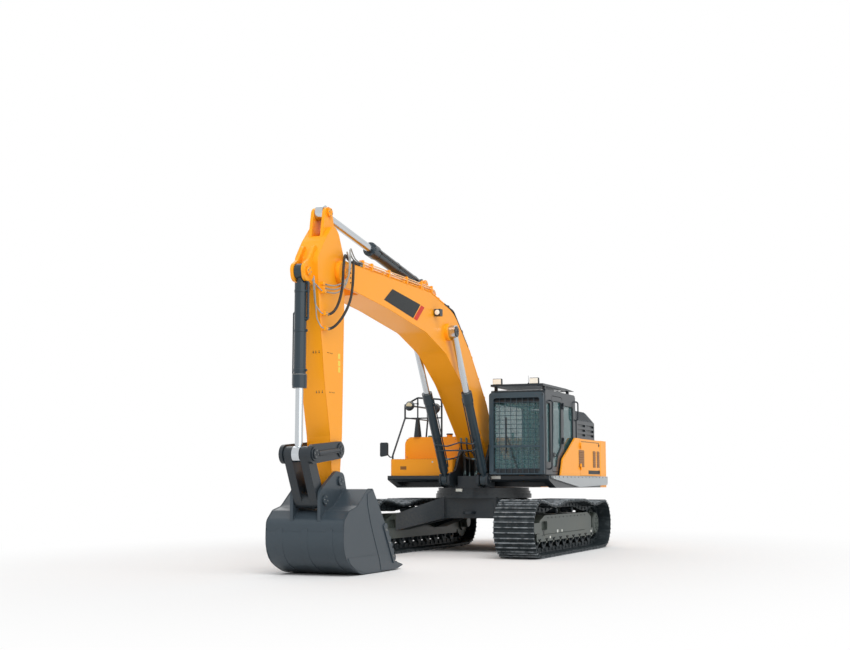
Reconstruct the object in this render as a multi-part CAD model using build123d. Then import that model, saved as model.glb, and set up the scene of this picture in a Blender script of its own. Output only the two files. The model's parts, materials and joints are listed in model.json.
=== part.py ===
from build123d import *
import math
import os

# A crawler excavator of about 37 t, in millimetres. X points forward, Y to the machine's left, Z up.
# Places are written from the swing axis and the ground, in the parked pose: arm down, bucket curled on the
# ground. Each finished piece is moved back by FRAME_X, so that the frame's origin lies under the middle of
# the machine's box. An outline's row is a corner and its rounding: (first, second, radius).

# Running gear
TRACK_GAUGE = 2840.0
SHOE_WIDTH = 700.0
SHOE_PITCH = 216.0
GROUSER = 35.0
SHOE_PLATE = 15.0
PIN_TO_PLATE = 55.0
PIN_TO_RAIL = 45.0
RAIL_WIDTH = 55.0
RAIL_GAP = 90.0
PIN_TO_TIP = PIN_TO_PLATE + SHOE_PLATE + GROUSER
IDLER_X = 2120.0
IDLER_Z = 490.0
IDLER_PITCH_R = IDLER_Z - PIN_TO_TIP
SPROCKET_X = -2150.0
SPROCKET_Z = 475.0
SPROCKET_PITCH_R = 355.0
SPROCKET_TEETH = 21
ROLLER_R = 95.0
ROLLER_FLANGE = 20.0
ROLLER_COUNT = 9
FRONT_ROLLER_BACK = 420.0
REAR_ROLLER_AHEAD = 450.0
ROLLER_FRONT = IDLER_X - FRONT_ROLLER_BACK
ROLLER_REAR = SPROCKET_X + REAR_ROLLER_AHEAD
CARRIER_R = 50.0
CARRIERS = (380.0, -630.0)
CARRIER_TOP_Z = 968.0
FRONT_SAG = 85.0
REAR_SAG = 75.0
RUN_GAP = 0.3
CARRIER_GAP = 4.0
FRAME_BOTTOM = 375.0
FRAME_TOP = 700.0
FRAME_HALF = 180.0
FRAME_FRONT = IDLER_X - 430
FRAME_REAR = SPROCKET_X + 460
FRAME_END_TOP = 610.0
FRAME_WALL = 25.0
YOKE_HALF = 165.0

# Carbody and slewing ring
CARBODY_TOP = 1050.0
CARBODY_BOTTOM = 620.0
HUB_X = 760.0
RING_R = 870.0
RING_BORE_R = 530.0
RING_TOP = 1110.0
DECK_BOTTOM = 1165.0

EYE_PLATE = 50.0
TOW_EYE_R = 36.0
TOW_EYE_X = 840.0
TOW_EYE_Z = 720.0
LIFT_EYE_R = 32.0
LIFT_EYE_IN = 0.39
LIFT_EYE_Y = 900.0

# Upper frame
DECK_TOP = 1385.0
DECK_HALF = 1550.0
DECK_PLATE = 20.0
NOSE_X = 940.0
NOSE_CUT = 450.0
TAIL_R = 3500.0
TAIL_DEPTH = 850.0
HOUSE_REAR = TAIL_DEPTH - TAIL_R
HOUSE_TOP = 2100.0
LIFT_EYE_X = HOUSE_REAR - LIFT_EYE_IN * TAIL_DEPTH
LIFT_EYE_Z = HOUSE_TOP + 65
HOUSE_WALL = 8.0
DOOR_GAP = 6.0
LEFT_HINGE_X = -1142.0
RIGHT_HINGE_X = -1520.0
DOOR_HINGES = (1500.0, 1900.0)
HOOD_FRONT = -1540.0
HOOD_HINGE_X = -1520.0
HOOD_HINGE_Z = HOUSE_TOP + 15
HOOD_HINGES = (-400.0, 180.0)
RIB_GAP = 256.0
RIB_WALL = 45.0
RIB_TOP = 1500.0

TANK_FRONT = 420.0
TANK_OUT = 1420.0
TANK_IN = 330.0
TANK_TOP = 2110.0

# Boom, arm and bucket pins in side view
BOOM_FOOT = (250.0, 1850.0)
BOOM_CYL_BASE = (1000.0, 1320.0)
BOOM_CYL_EYE = (2530.0, 3810.0)
ARM_PIVOT = (6560.0, 4220.0)
ARM_CYL_BASE = (3200.0, 4530.0)
ARM_CYL_EYE = (6820.0, 5060.0)
BUCKET_CYL_BASE = (7440.0, 4130.0)
ROCKER_PIVOT = (6650.0, 1710.0)
ROCKER_END = (7450.0, 1640.0)
BUCKET_PIVOT = (6650.0, 1280.0)
BUCKET_LINK_PIN = (7120.0, 1020.0)
BOOM_HALF = 250.0
BOOM_TOP = 4390.0
BOOM_BACK = [(6300.0, BOOM_TOP), (3300.0, BOOM_TOP), (2200.0, 4170.0), (1400.0, 3560.0), (520.0, 2660.0),
             (90.0, 1980.0)]
PIPE_R = 13.0
PIPE_LIFT = 26.0
PIPE_ROWS = (150.0, 192.0, 234.0)
PIPE_END = 6000.0
KNEE_FRONT = 2650.0
KNEE_REAR = 1500.0
ARM_HALF = 180.0
ARM_SWEEP_R = 600.0
BUCKET_HALF = 590.0
BUCKET_WALL = 30.0
BUCKET_FLOOR = 14.0
PIN_R = 55.0
PIN_PLAY = 0.5
EYE_R = 110.0
EYE_GAP = 6.0

# Cylinders: half the tube, gland and rod diameters, and the length from base pin to gland face
BOOM_CYL_Y = 370.0
BOOM_CYL = dict(tube=78.0, gland=92.0, rod=55.0, length=1760.0, eye_half=52.0)
ARM_CYL = dict(tube=95.0, gland=112.0, rod=62.0, length=2000.0, eye_half=60.0)
BUCKET_CYL = dict(tube=84.0, gland=100.0, rod=54.0, length=1600.0, eye_half=55.0)
NECK = 165.0
ROD_PLAY = 0.5

# Cab
CAB_REAR = -1080.0
CAB_FRONT = 1000.0
CAB_RIGHT = 480.0
CAB_LEFT = DECK_HALF - 50
CAB_MIDDLE = (CAB_LEFT + CAB_RIGHT) / 2
CONSOLE_HALF = 60.0
SEAT_HALF = CAB_LEFT - CAB_MIDDLE - 250
CAB_FLOOR = 1400.0
CAB_TOP = 2910.0
CAB_WALL = 60.0
GLASS = 6.0
DOOR_FRONT = 560.0
DOOR_REAR = -120.0
DOOR_BOTTOM = 1450.0
DOOR_TOP = 2820.0
DOOR_THICK = 45.0
CAB_DOOR_GAP = 9.0
CAB_HINGES = (1960.0, 2600.0)
SEAT_Z = 1730.0
HINGE_R = 12.0
HINGE_OUT = 22.0

LINK_BOSS_R = 130.0
FRONT_X = ROCKER_END[0] + LINK_BOSS_R
FRAME_X = (FRONT_X - TAIL_R) / 2

# Free hoses: radius and route. They end 0.3 mm off what they go into, square to it.
PORT_GAP = 0.3
PORT_R = 24.0
HOSE_REACH = 0.45
# front, height and distance across of the hose's end on the arm's left side
ARM_PORTS = ((7100.0, 3370.0, 230.0), (7120.0, 3570.0, 230.0), (7150.0, 3880.0, 225.0))
VALVE_TOP = 1380.0
VALVE_X = 690.0
VALVE_Y = 110.0
VALVE_PORT_TOP = VALVE_TOP + 30
BARREL_PORT = (1220.0, 1678.0)
BARREL_SIDE = BOOM_CYL_Y - BOOM_CYL["tube"] - 14
PIPE_AXIS_Z = BOOM_TOP + PIPE_LIFT


def arm_route(row, port, points):
    """Route from a pipe's end on the boom, through points, into a port on the arm."""
    x, z, y = ARM_PORTS[port]
    start = (PIPE_END + PORT_GAP, PIPE_ROWS[row], PIPE_AXIS_Z)
    return [start, (start[0] + 200, start[1], start[2]), *points, (x - 150, y, z), (x - PORT_GAP, y, z)]


def boom_route(side):
    """Route from the valve block's port to the boom cylinder's port on one side."""
    x, z = BARREL_PORT
    points = [(VALVE_X, VALVE_Y, VALVE_PORT_TOP + PORT_GAP), (VALVE_X, VALVE_Y, 1570), (715, 100, 1700),
              (830, 75, 1815), (980, 45, 1840), (1100, 30, 1795), (x - 30, 50, z + 47), (x, 160, z),
              (x, BARREL_SIDE - PORT_GAP, z)]
    return [(x, side * y, z) for x, y, z in points]


HOSES = {
    "arm_hose_outer": (19.0, arm_route(2, 0, [
        (6380, 290, 4440), (6500, 350, 4330), (6540, 362, 4060), (6600, 352, 3800), (6760, 300, 3540)])),
    "arm_hose_inner": (19.0, arm_route(1, 1, [
        (6450, 215, 4470), (6660, 290, 4480), (6790, 330, 4300), (6810, 330, 3980), (6860, 290, 3720)])),
    "arm_line": (9.0, arm_route(0, 2, [
        (6360, 185, 4520), (6520, 250, 4560), (6600, 330, 4420), (6630, 345, 4200), (6680, 310, 4000),
        (6810, 250, 3900)])),
    "boom_hose_left": (14.0, boom_route(1)),
    "boom_hose_right": (14.0, boom_route(-1)),
}


# Forms

def spot(axis, level, u, v):
    """A point from two outline coordinates and the level along the axis that the outline is square to."""
    return {"x": (level, u, v), "y": (u, level, v), "z": (u, v, level)}[axis]


def outline(rows, axis, level):
    """Closed face with straight sides and rounded corners, square to an axis."""
    ends, edges, count = [], [], len(rows)
    for i, (u, v, radius) in enumerate(rows):
        here = Vector(u, v)
        back = (Vector(*rows[i - 1][:2]) - here).normalized()
        ahead = (Vector(*rows[(i + 1) % count][:2]) - here).normalized()
        half = math.radians(back.get_angle(ahead)) / 2
        if radius == 0:
            ends.append((here, here))
            continue
        reach = radius / math.tan(half)
        middle = here + (back + ahead).normalized() * (radius / math.sin(half) - radius)
        start, stop = here + back * reach, here + ahead * reach
        ends.append((start, stop))
        corners = [spot(axis, level, p.X, p.Y) for p in (start, middle, stop)]
        edges.append(ThreePointArc(*corners))
    for i in range(count):
        stop, start = ends[i - 1][1], ends[i][0]
        if (start - stop).length > 1e-6:
            edges.append(Line(spot(axis, level, stop.X, stop.Y), spot(axis, level, start.X, start.Y)))
    return Face(Wire(edges))


def prism(rows, axis, low, high):
    """Solid with the outline as its section from low to high along the axis."""
    along = Vector(*spot(axis, high - low, 0, 0))
    return Part() + Solid.extrude(outline(rows, axis, low), along)


def block(x0, x1, y0, y1, z0, z1):
    """Box between two corners."""
    size = (x1 - x0, y1 - y0, z1 - z0)
    return Pos((x0 + x1) / 2, (y0 + y1) / 2, (z0 + z1) / 2) * Box(*size)


def bar(p, q, radius):
    """Round bar from p to q."""
    p, q = Vector(*p), Vector(*q)
    seat = Plane(origin=p, z_dir=q - p)
    return seat * Cylinder(radius, (q - p).length, align=(Align.CENTER, Align.CENTER, Align.MIN))


def cross_bar(pin, radius, y0, y1):
    """Round bar across the machine, through a pin's place in side view."""
    return bar((pin[0], y0, pin[1]), (pin[0], y1, pin[1]), radius)


def pipe(points, radius, bend):
    """Round tube along straight runs with bends of one radius."""
    path = FilletPolyline(*points, radius=bend)
    seat = Plane(origin=points[0], z_dir=Vector(*points[1]) - Vector(*points[0]))
    return Part() + sweep(seat * Circle(radius), path=path)


def turned(rows, place):
    """Solid turned about an axis across the machine; a row is (distance across, radius, rounding)."""
    face = outline([(radius, across, rounding) for across, radius, rounding in rows], "z", 0)
    return Pos(*place) * (Part() + revolve(face, axis=Axis.Y))


def fused(*pieces):
    """One shape from pieces that touch or overlap."""
    return Part() + list(pieces)


def apart(*pieces):
    """Separate solids kept in one node."""
    solids = []
    for piece in pieces:
        solids.extend(piece.solids())
    return Compound(solids)


def along(p, q, distance):
    """Point at a distance from p towards q."""
    return tuple(Vector(*p) + (Vector(*q) - Vector(*p)).normalized() * distance)


# Running gear

def belt_wheels():
    """Wheels that the chain's pin line wraps, in order round the track: x, z, pin line radius."""
    roller = ROLLER_R + PIN_TO_RAIL
    carrier = CARRIER_R + PIN_TO_RAIL
    return [
        (ROLLER_REAR, roller_axis_z(), roller),
        (ROLLER_FRONT, roller_axis_z(), roller),
        (IDLER_X, IDLER_Z, IDLER_PITCH_R),
        *[(x, carrier_axis_z(), carrier) for x in CARRIERS],
        (SPROCKET_X, SPROCKET_Z, SPROCKET_PITCH_R),
    ]


def roller_axis_z():
    """Height of the bottom rollers' axles: they stand on the chain's lower rail."""
    return PIN_TO_TIP + PIN_TO_RAIL + ROLLER_R


def belt_runs():
    """Straight runs of the pin line as (start, stop, outward angle), tangent to wheel after wheel."""
    wheels = belt_wheels()
    runs = []
    for (x1, z1, r1), (x2, z2, r2) in zip(wheels, wheels[1:] + wheels[:1]):
        length = math.hypot(x2 - x1, z2 - z1)
        turn = math.atan2(z2 - z1, x2 - x1) - math.pi / 2 + math.asin((r1 - r2) / length)
        out = Vector(math.cos(turn), math.sin(turn))
        runs.append((Vector(x1, z1) + out * r1, Vector(x2, z2) + out * r2, turn))
    return runs


def pin_places():
    """Chain pins at equal distances along the pin line, as points in side view."""
    runs, wheels = belt_runs(), belt_wheels()
    stretches = []
    for i, (start, stop, turn) in enumerate(runs):
        stretches.append(("run", (stop - start).length, (start, stop)))
        wheel = wheels[(i + 1) % len(wheels)]
        sweep_angle = (runs[(i + 1) % len(runs)][2] - turn) % (2 * math.pi)
        if sweep_angle < 1.5 * math.pi:
            stretches.append(("arc", sweep_angle * wheel[2], (wheel, turn)))
    total = sum(length for _, length, _ in stretches)
    count = round(total / SHOE_PITCH)
    places = []
    for i in range(count):
        left = total * i / count
        for kind, length, shape in stretches:
            if left <= length:
                break
            left -= length
        if kind == "run":
            places.append(shape[0] + (shape[1] - shape[0]) * (left / length))
        else:
            (x, z, radius), turn = shape
            angle = turn + left / radius
            places.append(Vector(x + radius * math.cos(angle), z + radius * math.sin(angle)))
    return [sagged(place) for place in places]


def sagged(place):
    """Pin's place with the upper run's slack, between the wheels and the carrier rollers."""
    # run's rear end, front end, sag in its middle
    rows = [(CARRIERS[0], IDLER_X, FRONT_SAG), (SPROCKET_X, CARRIERS[1], REAR_SAG)]
    for rear, front, sag in rows:
        if rear < place.X < front and place.Y > FRAME_TOP:
            share = (place.X - rear) / (front - rear)
            return Vector(place.X, place.Y - sag * math.sin(math.pi * share) ** 2)
    return place


def chain_offset(places, height):
    """Loop of corners at a height outside the pin line, only where the chain turns."""
    corners, count = [], len(places)
    for i, here in enumerate(places):
        back = (here - places[i - 1]).normalized()
        ahead = (places[(i + 1) % count] - here).normalized()
        if back.get_angle(ahead) < 0.05:
            continue
        mean = (back + ahead).normalized()
        out = Vector(mean.Y, -mean.X)
        spread = height / math.cos(math.radians(back.get_angle(ahead)) / 2)
        corners.append(tuple(here + out * spread)[:2])
    return corners


def shoe_outline(places):
    """Outer edge of all shoes in side view: flat plates with three bars each."""
    plate, tip = PIN_TO_PLATE + SHOE_PLATE, PIN_TO_TIP
    # share of the shoe's length from its middle, height over the pin line
    section = [
        (-0.47, plate), (-0.45, tip), (-0.40, tip), (-0.36, plate),
        (-0.05, plate), (0.0, tip), (0.05, plate),
        (0.36, plate), (0.40, tip), (0.45, tip), (0.47, plate),
    ]
    corners = []
    for i, here in enumerate(places):
        ahead = places[(i + 1) % len(places)] - here
        middle, length = here + ahead * 0.5, ahead.length
        run = ahead.normalized()
        out = Vector(run.Y, -run.X)
        corners += [tuple(middle + run * (share * length) + out * height)[:2] for share, height in section]
    return corners


def polygon_ring(outer, inner, y0, y1):
    """Ring across the machine between two closed loops of corners in side view."""
    shapes = []
    for corners in (outer, inner):
        face = Face(Wire.make_polygon([(x, y0, z) for x, z in corners], close=True))
        shapes.append(Part() + Solid.extrude(face, Vector(0, y1 - y0, 0)))
    return shapes[0] - shapes[1]


def track(side):
    """One chain with its shoes, as a fixed loop."""
    places = pin_places()
    middle = side * TRACK_GAUGE / 2
    plate_inside = chain_offset(places, PIN_TO_PLATE)
    band = polygon_ring(shoe_outline(places), plate_inside, middle - SHOE_WIDTH / 2, middle + SHOE_WIDTH / 2)
    rails = []
    for across in (-1, 1):
        near = middle + across * RAIL_GAP / 2
        far = near + across * RAIL_WIDTH
        low, high = min(near, far), max(near, far)
        rails.append(polygon_ring(plate_inside, chain_offset(places, -PIN_TO_RAIL), low, high))
    return fused(band, *rails)


def rail_radius(pitch_radius):
    """Largest wheel radius that clears the chain's flat rails on a bend."""
    return math.sqrt(pitch_radius ** 2 - (SHOE_PITCH / 2) ** 2) - PIN_TO_RAIL - RUN_GAP - 1


def idler(side):
    """Front wheel with its centre flange, axle and the yoke that slides in the track frame."""
    middle = side * TRACK_GAUGE / 2
    rim, tread = rail_radius(IDLER_PITCH_R), RAIL_GAP / 2 + RAIL_WIDTH
    flange_half = RAIL_GAP / 2 - 8
    # distance across from the wheel's middle, radius, rounding
    half = [(flange_half, rim, 0), (tread - 5, rim, 0), (tread, rim - 5, 0), (tread, rim - 50, 0), (46, rim - 62, 0),
            (40, rim - 72, 0), (40, 158, 0), (48, 148, 0), (95, 120, 0), (95, 60, 0)]
    flange = [(flange_half - 6, rim + 28, 0), (flange_half, rim + 22, 0), (flange_half, rim, 0)]
    rows = [(-a, r, c) for a, r, c in reversed(half)] + [(-a, r, c) for a, r, c in reversed(flange)][1:]
    rows += flange[:-1] + half
    wheel = turned(rows, (IDLER_X, middle, IDLER_Z))
    axle = bar((IDLER_X, middle - YOKE_HALF, IDLER_Z), (IDLER_X, middle + YOKE_HALF, IDLER_Z), 60)
    yoke = []
    for across in (-1, 1):
        near, far = sorted((middle + across * 118, middle + across * YOKE_HALF))
        rows = [(FRAME_FRONT + 4, 420, 0), (IDLER_X + 60, 420, 40), (IDLER_X + 60, 560, 40),
                (FRAME_FRONT + 4, 560, 0)]
        yoke.append(prism(rows, "y", near, far))
    cross = block(FRAME_FRONT + 4, IDLER_X - rim - 45, middle - YOKE_HALF, middle + YOKE_HALF, 440, 540)
    return fused(wheel, axle, cross, *yoke)


def sprocket(side):
    """Toothed wheel between the chain's rails, on the final drive's flange."""
    middle = side * TRACK_GAUGE / 2
    root, tip = SPROCKET_PITCH_R - 42, SPROCKET_PITCH_R + 22
    corners = []
    # share of a tooth's pitch, radius
    tooth = [(-0.30, root), (-0.10, tip), (0.10, tip), (0.30, root)]
    for i in range(SPROCKET_TEETH):
        for share, radius in tooth:
            angle = 2 * math.pi * (i + share) / SPROCKET_TEETH
            corners.append((SPROCKET_X + radius * math.cos(angle), SPROCKET_Z + radius * math.sin(angle), 0))
    disc = prism(corners, "y", middle - 30, middle + 30)
    return disc - cross_bar((SPROCKET_X, SPROCKET_Z), 230, middle - 31, middle + 31)


def final_drive(side):
    """Travel motor, gear housing and bolted cover, turning the sprocket; outward is away from the carbody."""
    middle = side * TRACK_GAUGE / 2
    # distance outward from the track's middle, radius, rounding
    rows = [(-330, 0, 0), (-330, 105, 0), (-315, 120, 0), (-215, 120, 0), (-215, 175, 0), (-180, 175, 0),
            (-180, 250, 0), (-30, 250, 0), (-30, 229.7, 0), (30, 229.7, 0), (30, 262, 0), (62, 262, 0),
            (62, 215, 0), (130, 208, 0), (156, 192, 0), (166, 165, 0), (166, 90, 0), (180, 80, 0), (180, 0, 0)]
    return turned([(side * across, radius, rounding) for across, radius, rounding in rows],
                  (SPROCKET_X, middle, SPROCKET_Z))


def track_frame(side):
    """Box between the chain's runs, with skirts over the rollers, carrier roller brackets and drive plate."""
    middle = side * TRACK_GAUGE / 2
    low, high = middle - FRAME_HALF, middle + FRAME_HALF
    top_front, top_rear = FRAME_FRONT - 310, FRAME_REAR + 270
    section = [(FRAME_REAR, FRAME_BOTTOM, 0), (FRAME_FRONT, FRAME_BOTTOM, 0), (FRAME_FRONT, FRAME_END_TOP, 40),
               (top_front, FRAME_TOP, 150), (top_rear, FRAME_TOP, 150), (FRAME_REAR, FRAME_END_TOP, 40)]
    body = prism(section, "y", low, high)
    rear, front = ROLLER_REAR - 150, ROLLER_FRONT + 150
    skirt_rows = [(rear, 260, 25), (front, 260, 25), (front, FRAME_BOTTOM + 20, 0), (rear, FRAME_BOTTOM + 20, 0)]
    skirts = [prism(skirt_rows, "y", low, low + FRAME_WALL), prism(skirt_rows, "y", high - FRAME_WALL, high)]
    window = []
    for across in (-1, 1):
        face_y = middle + across * FRAME_HALF
        near, far = sorted((face_y - across * 60, face_y + across))
        rear, front = FRAME_FRONT - 450, FRAME_FRONT - 110
        rows = [(rear, 450, 30), (front, 450, 30), (front, 600, 30), (rear, 600, 30)]
        window.append(prism(rows, "y", near, far))
    forks = []
    for across in (-1, 1):
        near, far = sorted((middle + across * (YOKE_HALF + RUN_GAP), middle + across * FRAME_HALF))
        tip = IDLER_X - 120
        rows = [(FRAME_FRONT, 400, 0), (tip, 400, 60), (tip, 580, 30), (FRAME_FRONT, 580, 0)]
        forks.append(prism(rows, "y", near, far))
    inner = middle - side * FRAME_HALF
    near, far = sorted((inner, inner + side * FRAME_WALL))
    ring = cross_bar((SPROCKET_X, SPROCKET_Z), 300, near, far)
    web = prism([(SPROCKET_X, SPROCKET_Z - 215, 0), (FRAME_REAR + 20, FRAME_BOTTOM, 0), (FRAME_REAR + 20, 640, 0),
                 (SPROCKET_X, SPROCKET_Z + 215, 0)], "y", near, far)
    plate = fused(ring, web) - cross_bar((SPROCKET_X, SPROCKET_Z), 250.5, near - 1, far + 1)
    brackets = []
    for x in CARRIERS:
        inner_edge = sorted((middle - side * 175, middle - side * 120))
        rows = [(x - 90, FRAME_TOP - 40, 0), (x + 90, FRAME_TOP - 40, 0), (x + 55, carrier_axis_z() + 55, 50),
                (x - 55, carrier_axis_z() + 55, 50)]
        brackets.append(prism(rows, "y", *inner_edge))
    frame = fused(body, *skirts, *forks, plate, *brackets)
    for cut in window:
        frame = frame - cut
    return frame


def carrier_axis_z():
    """Height of the carrier rollers' axles: the chain's upper run rests on them."""
    return CARRIER_TOP_Z - PIN_TO_TIP - PIN_TO_RAIL - CARRIER_R


def bottom_rollers():
    """Flanged rollers under both track frames, with their axles held in the skirts."""
    step = (ROLLER_FRONT - ROLLER_REAR) / (ROLLER_COUNT - 1)
    tread = RAIL_GAP / 2 + RAIL_WIDTH + 3
    edge = FRAME_HALF - FRAME_WALL - RUN_GAP
    half = [(25, ROLLER_R - 25, 0), (RAIL_GAP / 2 - 8, ROLLER_R, 0), (tread, ROLLER_R, 0),
            (tread, ROLLER_R + ROLLER_FLANGE, 0), (tread + 22, ROLLER_R + ROLLER_FLANGE, 0),
            (tread + 22, 45, 0), (edge, 45, 0), (edge, 0, 0)]
    rows = [(-a, r, c) for a, r, c in reversed(half)] + half
    rollers = []
    for side in (-1, 1):
        for i in range(ROLLER_COUNT):
            x = ROLLER_REAR + i * step
            rollers.append(turned(rows, (x, side * TRACK_GAUGE / 2, roller_axis_z() + RUN_GAP)))
    return apart(*rollers)


def carrier_rollers():
    """Four rollers that hold up the chains' upper runs, on stub axles in their brackets."""
    rollers = []
    for side in (-1, 1):
        for x in CARRIERS:
            rows = [(-119.7, 0, 0), (-119.7, 35, 0), (-104, 35, 0), (-104, CARRIER_R, 0), (104, CARRIER_R, 0),
                    (104, 40, 0), (112, 30, 0), (112, 0, 0)]
            rows = [(side * across, radius, rounding) for across, radius, rounding in rows]
            rollers.append(turned(rows, (x, side * TRACK_GAUGE / 2, carrier_axis_z() - CARRIER_GAP)))
    return apart(*rollers)


def carbody():
    """Centre frame on four legs that slope down to the track frames, with the slewing ring's seat."""
    inner_face = TRACK_GAUGE / 2 - FRAME_HALF
    hub = prism([(-HUB_X, -560, 120), (HUB_X, -560, 120), (HUB_X, 560, 120), (-HUB_X, 560, 120)], "z",
                CARBODY_BOTTOM, CARBODY_TOP - 40)
    seat = bar((0, 0, CARBODY_TOP - 70), (0, 0, CARBODY_TOP), RING_R + 20)
    pieces = [hub, seat]
    for forward in (-1, 1):
        for side in (-1, 1):
            # x from, x to, z from, z to, at the hub and at the track frame
            ends = [(200, 740, CARBODY_BOTTOM, CARBODY_TOP - 45, 500), (640, 1280, 400, 700, inner_face)]
            faces = []
            for x0, x1, z0, z1, y in ends:
                rows = [(forward * x0, z0, 0), (forward * x1, z0, 0), (forward * x1, z1, 0), (forward * x0, z1, 0)]
                faces.append(outline(rows, "y", side * y))
            pieces.append(Part() + loft(faces))
    body = fused(*pieces)
    return body - bar((0, 0, CARBODY_BOTTOM - 1), (0, 0, CARBODY_TOP + 1), 330)


def tow_eyes():
    """Flat eyes with an upright bore at the carbody's front and rear, for towing and tying down."""
    eyes = []
    low, high = TOW_EYE_Z - EYE_PLATE / 2, TOW_EYE_Z + EYE_PLATE / 2
    for forward in (-1, 1):
        near, far = forward * HUB_X, forward * (TOW_EYE_X + 75)
        rows = [(near, -110, 0), (far, -75, 65), (far, 75, 65), (near, 110, 0)]
        eye = prism(rows, "z", low, high)
        eyes.append(eye - bar((forward * TOW_EYE_X, 0, low - 1), (forward * TOW_EYE_X, 0, high + 1), TOW_EYE_R))
    return apart(*eyes)


def slewing_ring():
    """Lower race bolted to the carbody, with the gear inside it."""
    ring = bar((0, 0, CARBODY_TOP), (0, 0, RING_TOP), RING_R)
    return ring - bar((0, 0, CARBODY_TOP - 1), (0, 0, RING_TOP + 1), RING_BORE_R)


# Upper

def main_frame():
    """Ribs that carry the boom, deck plate, side beams, cross members and the ring's upper race."""
    rib_rows = [(HOUSE_REAR, DECK_BOTTOM, 0), (850, DECK_BOTTOM, 60), (1120, 1215, 60), (1125, 1420, 90),
                (800, 1470, 120), (420, 1985, 140), (80, 1985, 140), (-420, 1600, 200), (-1000, RIB_TOP, 100),
                (HOUSE_REAR, RIB_TOP, 0)]
    outer_rows = [(700, DECK_BOTTOM, 0), (850, DECK_BOTTOM, 60), (1120, 1215, 60), (1125, 1420, 90),
                  (885, 1425, 30), (870, 1380, 0), (700, 1330, 0)]
    pieces = []
    cheek = BOOM_CYL_Y + BOOM_CYL["eye_half"] + EYE_GAP
    for side in (-1, 1):
        pieces.append(prism(rib_rows, "y", *sorted((side * RIB_GAP, side * (RIB_GAP + RIB_WALL)))))
        pieces.append(prism(outer_rows, "y", *sorted((side * cheek, side * (cheek + 35)))))
    pieces.append(block(HOUSE_REAR, 860, -RIB_GAP - 5, RIB_GAP + 5, DECK_BOTTOM, DECK_BOTTOM + DECK_PLATE))
    pieces.append(block(700, 800, -cheek - 5, cheek + 5, DECK_BOTTOM, 1215))
    race = bar((0, 0, RING_TOP + 0.3), (0, 0, DECK_BOTTOM + 1), RING_R - 25)
    pieces.append(race - bar((0, 0, RING_TOP - 1), (0, 0, DECK_BOTTOM + 2), RING_BORE_R))
    beam_rows = [(HOUSE_REAR, DECK_BOTTOM, 0), (NOSE_X - NOSE_CUT, DECK_BOTTOM, 40), (NOSE_X, 1310, 30),
                 (NOSE_X, DECK_TOP, 0), (HOUSE_REAR, DECK_TOP, 0)]
    inside = RIB_GAP + RIB_WALL
    for side in (-1, 1):
        beam = sorted((side * (DECK_HALF - 130), side * DECK_HALF))
        pieces.append(prism(beam_rows, "y", *beam))
        plate = sorted((side * inside, side * (DECK_HALF - 20)))
        front_plate = sorted((side * (cheek + 35), side * (DECK_HALF - 20)))
        pieces.append(block(HOUSE_REAR, 700, *plate, DECK_TOP - DECK_PLATE, DECK_TOP))
        pieces.append(block(699, NOSE_X, *front_plate, DECK_TOP - DECK_PLATE, DECK_TOP))
        nose = [(NOSE_X - 120, 1270, 0), (NOSE_X, 1310, 30), (NOSE_X, DECK_TOP, 0), (NOSE_X - 120, DECK_TOP, 0)]
        pieces.append(prism(nose, "y", *front_plate))
        for x in (450, -350, -1150, -1950, HOUSE_REAR + 20):
            pieces.append(block(x - 15, x + 15, *plate, DECK_BOTTOM + 25, DECK_TOP))
    pieces.append(cross_bar(BOOM_FOOT, PIN_R, -RIB_GAP - RIB_WALL - 25, RIB_GAP + RIB_WALL + 25))
    for side in (-1, 1):
        ends = sorted((side * RIB_GAP, side * (cheek + 45)))
        pieces.append(cross_bar(BOOM_CYL_BASE, PIN_R - 5, *ends))
        port = side * VALVE_Y
        pieces.append(bar((VALVE_X, port, VALVE_TOP - 1), (VALVE_X, port, VALVE_PORT_TOP), PORT_R))
    pieces.append(block(VALVE_X - 160, VALVE_X + 160, -200, 200, DECK_BOTTOM + DECK_PLATE - 1, VALVE_TOP))
    frame = fused(*pieces)
    return frame - bar((0, 0, DECK_BOTTOM - 1), (0, 0, DECK_BOTTOM + DECK_PLATE + 1), 250)


def counterweight():
    """Cast tail whose rear face follows the tail radius."""
    depth = TAIL_DEPTH
    front, rear = HOUSE_REAR - 2, -TAIL_R - 50
    side = [(front, DECK_BOTTOM + 30, 0), (front, HOUSE_TOP, depth * 0.07), (rear, HOUSE_TOP, depth * 0.2),
            (rear, DECK_BOTTOM + 120, 0), (rear + depth * 0.36, DECK_BOTTOM, depth * 0.13),
            (front - depth * 0.3, DECK_BOTTOM, depth * 0.05)]
    plan = [(front, -DECK_HALF, depth * 0.07), (front, DECK_HALF, depth * 0.07), (-TAIL_R, DECK_HALF, depth * 0.39),
            (-TAIL_R, -DECK_HALF, depth * 0.39)]
    swing = bar((0, 0, 0), (0, 0, 3000), TAIL_R)
    return prism(side, "y", -DECK_HALF, DECK_HALF) & prism(plan, "z", 0, 3000) & swing


def lifting_eyes():
    """Eyes on top of the counterweight."""
    eyes, x = [], LIFT_EYE_X
    for side in (-1, 1):
        y = side * LIFT_EYE_Y
        rows = [(x - 90, HOUSE_TOP, 0), (x + 90, HOUSE_TOP, 0), (x + 60, HOUSE_TOP + 130, 55),
                (x - 60, HOUSE_TOP + 130, 55)]
        eye = prism(rows, "y", y - EYE_PLATE / 2, y + EYE_PLATE / 2)
        eyes.append(eye - cross_bar((x, LIFT_EYE_Z), LIFT_EYE_R, y - EYE_PLATE, y + EYE_PLATE))
    return apart(*eyes)


def engine_block():
    """Engine as one plain block on the ribs, at its real size and place."""
    return block(HOUSE_REAR + 90, -1560, -420, 620, RIB_TOP, 2020)


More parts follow.
